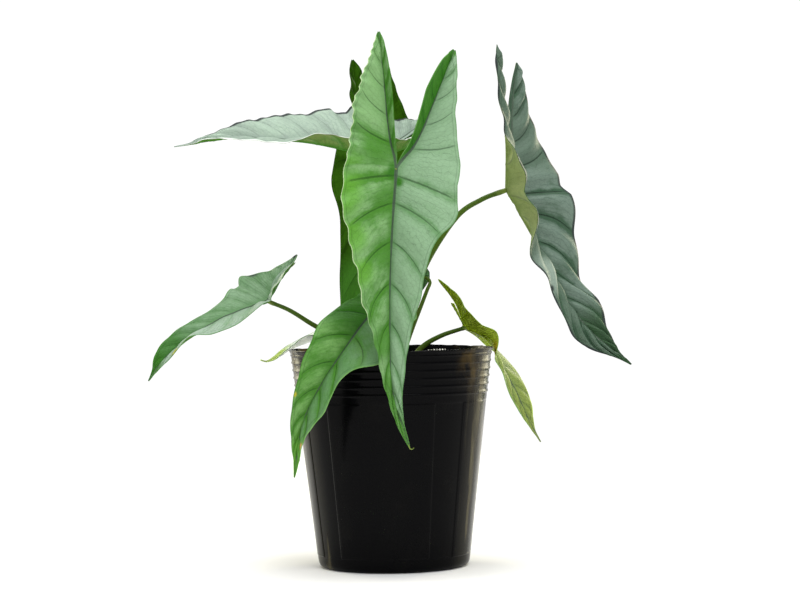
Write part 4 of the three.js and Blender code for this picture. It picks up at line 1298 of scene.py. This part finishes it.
def make_blade(name, leaf, plant, palette):
    """A blade as one closed mesh with an upper skin, an underside and a thin rim."""
    fields, faces, uv = weld(blade_patches(leaf, plant), palette, leaf)
    upper, lower, rim = thicken(fields, faces, plant)
    count = len(upper)
    uv_points = np.stack([fields["across"], fields["outward"]], -1)
    all_faces = np.concatenate([faces, faces[:, ::-1] + count, rim])
    all_uv = np.concatenate([uv, uv[:, ::-1], uv_points[rim % count]])
    materials = [
        leaf_material(f"{name}_{face}", palette, plant.roughness, leaf.get("lines", 1.0), upward)
        for face, upward in (("upper_face", True), ("underside", False))
    ]
    made = new_object(
        f"leaf_blade_{name}", np.vstack([upper, lower]), all_faces, materials, f"blade_{name}",
    )
    underside = np.zeros(len(all_faces), np.int32)
    underside[len(faces):] = 1
    made.data.polygons.foreach_set("material_index", underside)
    made.data.uv_layers.new(name="UVMap").uv.foreach_set("vector", all_uv.astype(np.float32).ravel())
    both = np.vstack([fields["upper"], fields["under"]])
    add_attribute(made, "deep", "FLOAT_COLOR", np.hstack([both[:, :3], np.ones((len(both), 1))]))
    add_attribute(made, "pale", "FLOAT_COLOR", both[:, 3:])
    add_attribute(made, "gauge", "FLOAT_VECTOR", np.tile(fields["gauge"], (2, 1)))


def make_hook(name, leaf, material):
    """The little hook that a drip tip ends in."""
    path = Curve(leaf["hook"])
    share = np.linspace(0, 1, HOOK_ROWS)
    radii = np.repeat((HOOK_RADIUS - HOOK_TAPER * share)[:, None], HOOK_SIDES, 1)
    made = tube(
        f"drip_tip_{name}", path.at(share * path.length), (0, 1, 0), radii, material, None,
    )
    add_attribute(made, "along", "FLOAT", np.full(radii.size, 0.98))


def make_petiole(name, leaf, material):
    """A stalk from the stem base to the sinus: a sheath at its foot and a small swelling at its top."""
    path = Curve([*leaf["petiole"], leaf["midrib"][0]])
    rows = max(int(path.length / PETIOLE_STEP), PETIOLE_LEAST_STEPS) + 1
    share = np.linspace(0, 1, rows)
    foot = leaf["petiole"][0]
    angle = around(PETIOLE_SIDES)
    radius = leaf["foot_radius"] * (1 - (1 - PETIOLE_TAPER) * share)
    swelling = 1 + SWELLING * np.exp(-(((share - SWELLING_AT) / SWELLING_LENGTH) ** 2))
    sheath = smoothstep(1 - share / SHEATH_SHARE)[:, None]
    from_front = np.minimum(angle, 2 * math.pi - angle)
    channel = CHANNEL_DEPTH * sheath * np.exp(-((from_front / CHANNEL_ANGLE) ** 2))
    wings = WING_HEIGHT * sheath * np.exp(-(((from_front - WING_AT) / WING_ANGLE) ** 2))
    radii = (radius * swelling)[:, None] * (1 - channel + wings)
    made = tube(
        f"leaf_stalk_{name}", path.at(share * path.length), (-foot[0], -foot[1], 0.01), radii,
        material, f"petiole_{name}",
    )
    up_stalk = np.repeat(share, PETIOLE_SIDES)
    add_attribute(made, "along", "FLOAT", up_stalk)
    uv = np.stack([2 * np.tile(np.sin(angle), rows), 0.3 * up_stalk], -1)
    corner = np.zeros(len(made.data.loops), np.int32)
    made.data.loops.foreach_get("vertex_index", corner)
    made.data.uv_layers.new(name="UVMap").uv.foreach_set("vector", uv[corner].astype(np.float32).ravel())


def pot_radius(z):
    """Outer radius of the pot's plain taper."""
    share = (z - POT_FOOT_HEIGHT) / (POT_SHOULDER_HEIGHT - POT_FOOT_HEIGHT)
    return POT_FOOT_RADIUS + share * (POT_SHOULDER_RADIUS - POT_FOOT_RADIUS)


def panel_relief(angle, z, pot):
    """How far the panelled wall stands off the plain taper, with a fine bead round each panel."""
    pitch = 360 / PANEL_COUNT
    turned = (np.degrees(angle) - PANEL_TURN) / pitch
    from_edge = np.abs(turned - np.round(turned)) * pitch
    proud = np.where(np.floor(turned) % 2 == 0, 1.0, -1.0)
    step = pot.panel_depth / MM * proud * smoothstep(from_edge / PANEL_EDGE)
    bead = pot.bead / MM * np.exp(-((from_edge / BEAD_DEGREES) ** 2))
    inside = smoothstep((z - PANEL_BOTTOM) / PANEL_BEVEL)
    inside *= smoothstep((PANEL_TOP + PANEL_BEVEL - z) / PANEL_BEVEL)
    above_foot = z - PANEL_BOTTOM - PANEL_BEVEL / 2
    foot_bead = pot.bead / MM * np.exp(-((above_foot / BEAD_HEIGHT) ** 2)) * (proud > 0)
    return (step + bead) * inside + foot_bead


def rib_relief(z, pot):
    """How far the ribs under the lip stand out at a height."""
    nearest = min(max(round((z - RIB_LOWEST) / RIB_SPACING), 0), RIB_COUNT - 1)
    off = (z - RIB_LOWEST - nearest * RIB_SPACING) / RIB_HALF_HEIGHT
    return pot.rib_depth / MM * max(1 - off ** 2, 0) ** 1.5


def pot_angles():
    """Angles round the pot, close together at the panels' edges."""
    pitch = 360 / PANEL_COUNT
    places = [panel * pitch + PANEL_TURN + place for panel in range(PANEL_COUNT) for place in PANEL_PLACES]
    return np.radians(places)


def ragged(angle, random, sizes):
    """A wavering value round the lip: sines of many counts with random phases."""
    return sum(
        size * np.sin(count * angle + random.uniform(0, 2 * math.pi)) / (1 + 0.03 * count)
        for count, size in sizes
    )


def pot_rows(pot):
    """Radius, height and kind of each ring of the pot, from the middle of its base round to its floor."""
    thickness = pot.wall / MM
    floor = pot.floor / MM
    corner = pot_radius(floor) - thickness
    return [
        *((radius, 0.0, "plain") for radius in BASE_RINGS),
        *((radius, z, "plain") for radius, z in POT_FOOT),
        *((pot_radius(z), z, "wall") for z in WALL_LEVELS),
        *((radius, z, "lip") for radius, z in POT_LIP + POT_LIP_INSIDE),
        *((pot_radius(z) - thickness, z, "plain") for z in INSIDE_LEVELS),
        (corner - POT_INSIDE_BEND[0], POT_INSIDE_BEND[1], "plain"),
        (corner - POT_INSIDE_ROUNDING, floor, "plain"),
        *((radius, floor, "plain") for radius in BASE_RINGS[::-1]),
    ]


def cut_holes(made):
    """Cuts the drain holes through the pot's floor."""
    cutter = bmesh.new()
    for i in range(HOLE_COUNT):
        angle = (i + 0.5) / HOLE_COUNT * 2 * math.pi
        place = Vector((HOLE_RING * math.cos(angle), HOLE_RING * math.sin(angle), 1)) * MM
        bmesh.ops.create_cone(
            cutter, cap_ends=True, segments=32, radius1=HOLE_RADIUS * MM, radius2=HOLE_RADIUS * MM,
            depth=HOLE_CUT * MM, matrix=Matrix.Translation(place),
        )
    mesh = bpy.data.meshes.new("drain_holes")
    cutter.to_mesh(mesh)
    cutter.free()
    holes = bpy.data.objects.new("drain_holes", mesh)
    bpy.context.scene.collection.objects.link(holes)
    modifier = made.modifiers.new("drain_holes", "BOOLEAN")
    modifier.operation = "DIFFERENCE"
    modifier.solver = "EXACT"
    modifier.object = holes
    apply_modifiers(made)
    bpy.data.objects.remove(holes)


def lathe(name, rows, angles, materials, node):
    """A closed body from rings of points, welded where they meet at the axis."""
    points = np.concatenate(rows)
    faces = grid_faces(len(rows), len(angles), wrap=True)
    made = new_object(name, points, faces, materials, node)
    shape = bmesh.new()
    shape.from_mesh(made.data)
    bmesh.ops.remove_doubles(shape, verts=shape.verts, dist=1e-6)
    bmesh.ops.recalc_face_normals(shape, faces=shape.faces)
    shape.to_mesh(made.data)
    shape.free()
    return made


def make_pot(pot, random):
    """The nursery pot: a ribbed, panelled wall under a thin, slightly ragged lip, and drain holes."""
    angles = pot_angles()
    heights = ragged(angles, random, LIP_HEIGHT_WAVES)
    spreads = ragged(angles, random, LIP_SPREAD_WAVES)
    rings = []
    for radius, z, kind in pot_rows(pot):
        outward = np.full(len(angles), float(radius))
        level = np.full(len(angles), float(z))
        if kind == "wall":
            outward = outward + panel_relief(angles, z, pot) + rib_relief(z, pot)
        if kind == "lip":
            share = smoothstep((z - POT_SHOULDER_HEIGHT) / (POT_TOP - POT_SHOULDER_HEIGHT))
            outward = outward + pot.nick / MM * share * spreads
            level = level + pot.nick / MM * share * (heights - LIP_SINK)
        rings.append(ring(outward, angles, level))
    made = lathe("nursery_pot", rings, angles, [plastic_material(pot)], "pot")
    cut_holes(made)
    made.data.shade_smooth()
    made.data.set_sharp_from_angle(angle=math.radians(POT_SHARP))


def lumps(x, y, phases):
    """Height of the mix's surface: broad heaps, then smaller ones."""
    height = np.zeros_like(x)
    for scale, size, row in HEAPS:
        a, b, c = phases[row]
        height += size * np.sin(scale * x + a) * np.sin(scale * y + b + np.sin(0.5 * scale * x + c))
    return height


def make_potting_mix(pot, random):
    """The peat body: an uneven top, plain sides a little clear of the pot's wall, and a flat bottom."""
    angles = around(MIX_SIDES)
    phases = random.uniform(0, 2 * math.pi, (7, 3))
    wall = pot.wall / MM + MIX_CLEARANCE
    corner = pot_radius(pot.floor / MM) - wall - POT_INSIDE_ROUNDING
    rows = [(0.0, MIX_FLOOR), (corner / 2, MIX_FLOOR), (corner, MIX_FLOOR)]
    rows += [(pot_radius(z) - wall, z) for z in MIX_SIDE_LEVELS]
    rings = [ring(radius, angles, z) for radius, z in rows]
    outer = pot_radius(MIX_LEVEL) - wall
    for share in MIX_TOP_SHARES:
        x, y = share * outer * np.cos(angles), share * outer * np.sin(angles)
        edge = smoothstep((1 - share) / MIX_RIM_SHARE)
        raised = (lumps(x, y, phases) - (1 - edge) * MIX_RIM_DROP) * smoothstep(share / MIX_CENTRE_SHARE)
        rings.append(np.stack([x, y, MIX_LEVEL - MIX_SINK + raised], -1))
    lathe("peat_and_bark", rings, angles, [mix_material(pot)], "potting_mix")


def rough_stone(random, sizes, bumpiness):
    """Points and faces of one irregular lump: a ball of triangles, squashed and dented."""
    ball = bmesh.new()
    bmesh.ops.create_icosphere(ball, subdivisions=2, radius=1)
    points = np.array([v.co for v in ball.verts])
    faces = [[v.index for v in face.verts] for face in ball.faces]
    ball.free()
    for _ in range(LUMP_DENTS):
        axis = unit(random.normal(size=3))
        reach = random.uniform(*DENT_REACH)
        over = np.maximum(points @ axis - reach, 0)
        points = points - over[:, None] * axis * DENT_DEPTH
    points = points * (1 + bumpiness * random.uniform(-1, 1, (len(points), 1)))
    return points * sizes, faces


def scatter(pot, random, count, sizes, bumpiness, tilt):
    """Lumps lying on the mix, away from the stem, as one set of points, faces and tones."""
    outer = pot_radius(MIX_LEVEL) - pot.wall / MM - MIX_CLEARANCE
    points, faces, tones = [], [], []
    for _ in range(count):
        size = np.array([random.uniform(low, high) for low, high in sizes])
        lump, lump_faces = rough_stone(random, size, bumpiness)
        turn = Matrix.Rotation(random.uniform(0, 2 * math.pi), 3, "Z")
        lean = Matrix.Rotation(random.uniform(-tilt, tilt), 3, "X")
        lump = lump @ np.array(turn @ lean).T
        away = math.sqrt(random.uniform((STEM_CLEAR / outer) ** 2, 1)) * (outer - size.max())
        away = max(away, STEM_CLEAR + size.max() * 0.6)
        angle = random.uniform(0, 2 * math.pi)
        centre = np.array([away * math.cos(angle), away * math.sin(angle), MIX_LEVEL - LUMP_SINK])
        add_lump(points, faces, tones, lump + centre + [0, 0, size.min() * 0.55], lump_faces)
        tones[-1] += random.uniform(0, 1)
    return points, faces, tones


def add_lump(points, faces, tones, lump, lump_faces):
    """Adds a lump to lists of points and tones by the lump, and of faces."""
    first = sum(map(len, points))
    faces.extend([[first + i for i in face] for face in lump_faces])
    points.append(lump)
    tones.append(np.zeros(len(lump)))


def make_lumps(name, points, faces, tones, material):
    """One piece of many lumps, each with its own tone."""
    made = new_object(name, np.concatenate(points), faces, [material], None)
    add_attribute(made, "tone", "FLOAT", np.concatenate(tones))
    return made


def make_chips(pot, random):
    """Bark chips and perlite grains on the mix, and a few grains on the lip."""
    bark = chip_material("bark_chip", pot.chip, linear("2e1d12"))
    chips = scatter(pot, random, pot.chip_count, CHIP_SIZES, CHIP_BUMPS, CHIP_TILT)
    made = make_lumps("bark_chips", *chips, bark)
    made.data.set_sharp_from_angle(angle=math.radians(CHIP_SHARP))
    white = chip_material("perlite_grain", pot.grain, linear("b9b5aa"))
    points, faces, tones = scatter(pot, random, pot.chip_count // 4, GRAIN_SIZES, GRAIN_BUMPS, GRAIN_TILT)
    for i in range(LIP_GRAINS):
        lump, lump_faces = rough_stone(random, random.uniform(*LIP_GRAIN_SIZES, 3), GRAIN_BUMPS)
        angle = math.radians(LIP_GRAINS_FROM + LIP_GRAINS_APART * i)
        centre = ring(LIP_GRAIN_RADIUS, angle, LIP_GRAIN_LEVEL)
        add_lump(points, faces, tones, lump + centre, lump_faces)
    make_lumps("perlite_grains", points, faces, tones, white)


def make_stem(plant, palette, random):
    """The stem base with shallow leaf scars, and the dry sheaths that lean against it."""
    angles = around(STEM_SIDES)
    radii, heights = zip(*STEM_PROFILE)
    phase = random.uniform(0, 2 * math.pi, 3)
    rings = [ring(0, angles, heights[0])]
    for z in np.linspace(heights[0], heights[-1], STEM_ROWS):
        wander = SCAR_WANDER * np.sin(angles + phase[0]) + np.sin(3 * angles + phase[1])
        scar = plant.scars / MM * np.sin(SCAR_RATE * z + wander)
        flutes = FLUTE_DEPTH * np.sin(FLUTE_COUNT * angles + phase[2])
        radius = smooth_line(heights, radii, z) - STEM_INSET + scar * 0.8 + flutes
        rings.append(ring(radius, angles, z))
    rings.append(ring(0, angles, STEM_TOP))
    lathe("stem_base_skin", rings, angles, [stem_material(palette)], "stem_base")
    points, faces = [], []
    for i in range(SHEATH_COUNT):
        turn = i * 2 * math.pi / SHEATH_COUNT + random.uniform(-0.3, 0.3)
        points.append(sheath_patch(random, turn))
        faces.extend(grid_faces(*SHEATH_GRID, first=i * math.prod(SHEATH_GRID)).tolist())
    dry = sheath_material(palette)
    sheath = new_object("dry_sheaths", np.concatenate(points), faces, [dry], None)
    solid = sheath.modifiers.new("thickness", "SOLIDIFY")
    solid.thickness = SHEATH_THICKNESS * MM
    apply_modifiers(sheath)


def sheath_patch(random, turn):
    """One dry sheath: a curved flap that hugs the stem base and leans out at its torn top."""
    up = np.linspace(0, 1, SHEATH_GRID[0])[:, None]
    across = np.linspace(-1, 1, SHEATH_GRID[1])[None, :]
    height = random.uniform(*SHEATH_HEIGHTS)
    torn = 1 - 0.25 * np.abs(across) ** 2 + 0.06 * np.sin(9 * across + random.uniform(0, 6))
    radius = SHEATH_RADIUS + 1.9 * up ** 2 + 0.3 * np.sin(4 * across + random.uniform(0, 6)) * up
    angle = turn + SHEATH_HALF_ANGLE * across * (1 - 0.35 * up)
    return ring(radius, angle, SHEATH_FOOT + height * up * torn).reshape(-1, 3)


def pale_world(stage):
    """A plain background, bright at the horizon and dimmer overhead, where the top light hangs."""
    shader = Shader("pale_studio", "worlds", "Background", Color=stage.backdrop)
    _, _, upward = shader.split(shader.coordinate("Generated"))
    shader.feed(shader.surface.inputs["Strength"], shader.fade(upward, 0.15, 0.5, 1.05, 0.4))
    return shader.owner


def add_light(name, place, size, power, colour):
    """A soft rectangular light that looks at the middle of the plant."""
    data = bpy.data.lights.new(name, "AREA")
    data.shape = "RECTANGLE"
    data.size, data.size_y = size
    data.energy = power
    data.color = colour
    made = bpy.data.objects.new(name, data)
    made.location = place
    made.visible_camera = False
    bpy.context.scene.collection.objects.link(made)
    direction = Vector(PLANT_MIDDLE) - made.location
    made.rotation_euler = direction.to_track_quat("-Z", "Y").to_euler()


def make_camera():
    """The photograph's camera."""
    data = bpy.data.cameras.new("photo_camera")
    data.sensor_width = SENSOR_WIDTH
    data.lens = FOCAL_PIXELS / PHOTO_WIDTH * SENSOR_WIDTH
    data.clip_start = 0.05
    camera = bpy.data.objects.new("photo_camera", data)
    bpy.context.scene.collection.objects.link(camera)
    level = Matrix.Rotation(math.pi / 2 - CAMERA_PITCH, 4, "X")
    roll = Matrix.Rotation(CAMERA_ROLL, 4, "Z")
    camera.matrix_world = Matrix.Translation(CAMERA_PLACE) @ level @ roll
    bpy.context.scene.camera = camera


def make_floor(stage):
    """The plain floor that the pot stands on."""
    floor = bpy.data.meshes.new("floor")
    reach = FLOOR_REACH
    corners = [(-reach, -reach, 0), (reach, -reach, 0), (reach, reach, 0), (-reach, reach, 0)]
    floor.from_pydata(corners, [], [(0, 1, 2, 3)])
    floor.materials.append(floor_material(stage))
    ground = bpy.data.objects.new("floor", floor)
    bpy.context.scene.collection.objects.link(ground)


class ALOCASIA_OT_stage(bpy.types.Operator):
    """Sets up the camera, the pale floor, the soft lights and the plain background"""

    bl_idname = "alocasia.stage"
    bl_label = "Stage"

    def execute(self, context):
        scene = context.scene
        stage = scene.alocasia_stage
        make_camera()
        make_floor(stage)
        scene.world = pale_world(stage)
        scene.view_settings.view_transform = "Standard"
        for name, place, size, power, tinted in LIGHTS:
            colour = stage.side_light[:3] if tinted else (1, 1, 1)
            add_light(name, place, size, getattr(stage, power), colour)
        return {"FINISHED"}


class ALOCASIA_OT_pot(bpy.types.Operator):
    """Builds the ribbed black nursery pot"""

    bl_idname = "alocasia.pot"
    bl_label = "Nursery pot"

    def execute(self, context):
        make_pot(context.scene.alocasia_pot, np.random.default_rng(SEED))
        return {"FINISHED"}


class ALOCASIA_OT_potting_mix(bpy.types.Operator):
    """Fills the pot with peat, bark chips and perlite"""

    bl_idname = "alocasia.potting_mix"
    bl_label = "Potting mix"

    def execute(self, context):
        random = np.random.default_rng(SEED + 1)
        make_potting_mix(context.scene.alocasia_pot, random)
        make_chips(context.scene.alocasia_pot, random)
        return {"FINISHED"}


class ALOCASIA_OT_stem_base(bpy.types.Operator):
    """Builds the stem base and its dry sheaths"""

    bl_idname = "alocasia.stem_base"
    bl_label = "Stem base"

    def execute(self, context):
        scene = context.scene
        make_stem(scene.alocasia_plant, scene.alocasia_palette, np.random.default_rng(SEED + 2))
        return {"FINISHED"}


class ALOCASIA_OT_petioles(bpy.types.Operator):
    """Grows the nine leaf stalks"""

    bl_idname = "alocasia.petioles"
    bl_label = "Leaf stalks"

    def execute(self, context):
        scene = context.scene
        material = petiole_material(scene.alocasia_palette, scene.alocasia_plant.roughness)
        for name, leaf in LEAVES.items():
            make_petiole(name, leaf, material)
        return {"FINISHED"}


class ALOCASIA_OT_blades(bpy.types.Operator):
    """Grows the nine arrow-shaped leaf blades"""

    bl_idname = "alocasia.blades"
    bl_label = "Leaf blades"

    def execute(self, context):
        plant, palette = context.scene.alocasia_plant, context.scene.alocasia_palette
        skin = petiole_material(palette, plant.roughness)
        for name, leaf in LEAVES.items():
            make_blade(name, leaf, plant, palette)
            if "hook" in leaf:
                make_hook(name, leaf, skin)
        return {"FINISHED"}


class ALOCASIA_PT_panel(bpy.types.Panel):
    """Lists the steps that build the plant"""

    bl_idname = "ALOCASIA_PT_panel"
    bl_label = "Alocasia"
    bl_space_type = "VIEW_3D"
    bl_region_type = "UI"
    bl_category = "Alocasia"

    def draw(self, context):
        for step in STEPS:
            self.layout.operator(step.bl_idname)


STEPS = (
    ALOCASIA_OT_stage,
    ALOCASIA_OT_pot,
    ALOCASIA_OT_potting_mix,
    ALOCASIA_OT_stem_base,
    ALOCASIA_OT_petioles,
    ALOCASIA_OT_blades,
)
GROUPS = {
    "alocasia_pot": PotSettings,
    "alocasia_plant": PlantSettings,
    "alocasia_palette": Palette,
    "alocasia_stage": StageSettings,
}
CLASSES = (*GROUPS.values(), *STEPS, ALOCASIA_PT_panel)


def register():
    """Adds the settings, the operators and the panel to Blender."""
    for cls in CLASSES:
        bpy.utils.register_class(cls)
    for name, group in GROUPS.items():
        setattr(bpy.types.Scene, name, bpy.props.PointerProperty(type=group))


def unregister():
    """Takes the settings, the operators and the panel out of Blender again."""
    for name in GROUPS:
        delattr(bpy.types.Scene, name)
    for cls in reversed(CLASSES):
        bpy.utils.unregister_class(cls)


def main():
    """Builds the stage and every piece."""
    register()
    bpy.ops.alocasia.stage()
    bpy.ops.alocasia.pot()
    bpy.ops.alocasia.potting_mix()
    bpy.ops.alocasia.stem_base()
    bpy.ops.alocasia.petioles()
    bpy.ops.alocasia.blades()


if __name__ == "__main__":
    main()
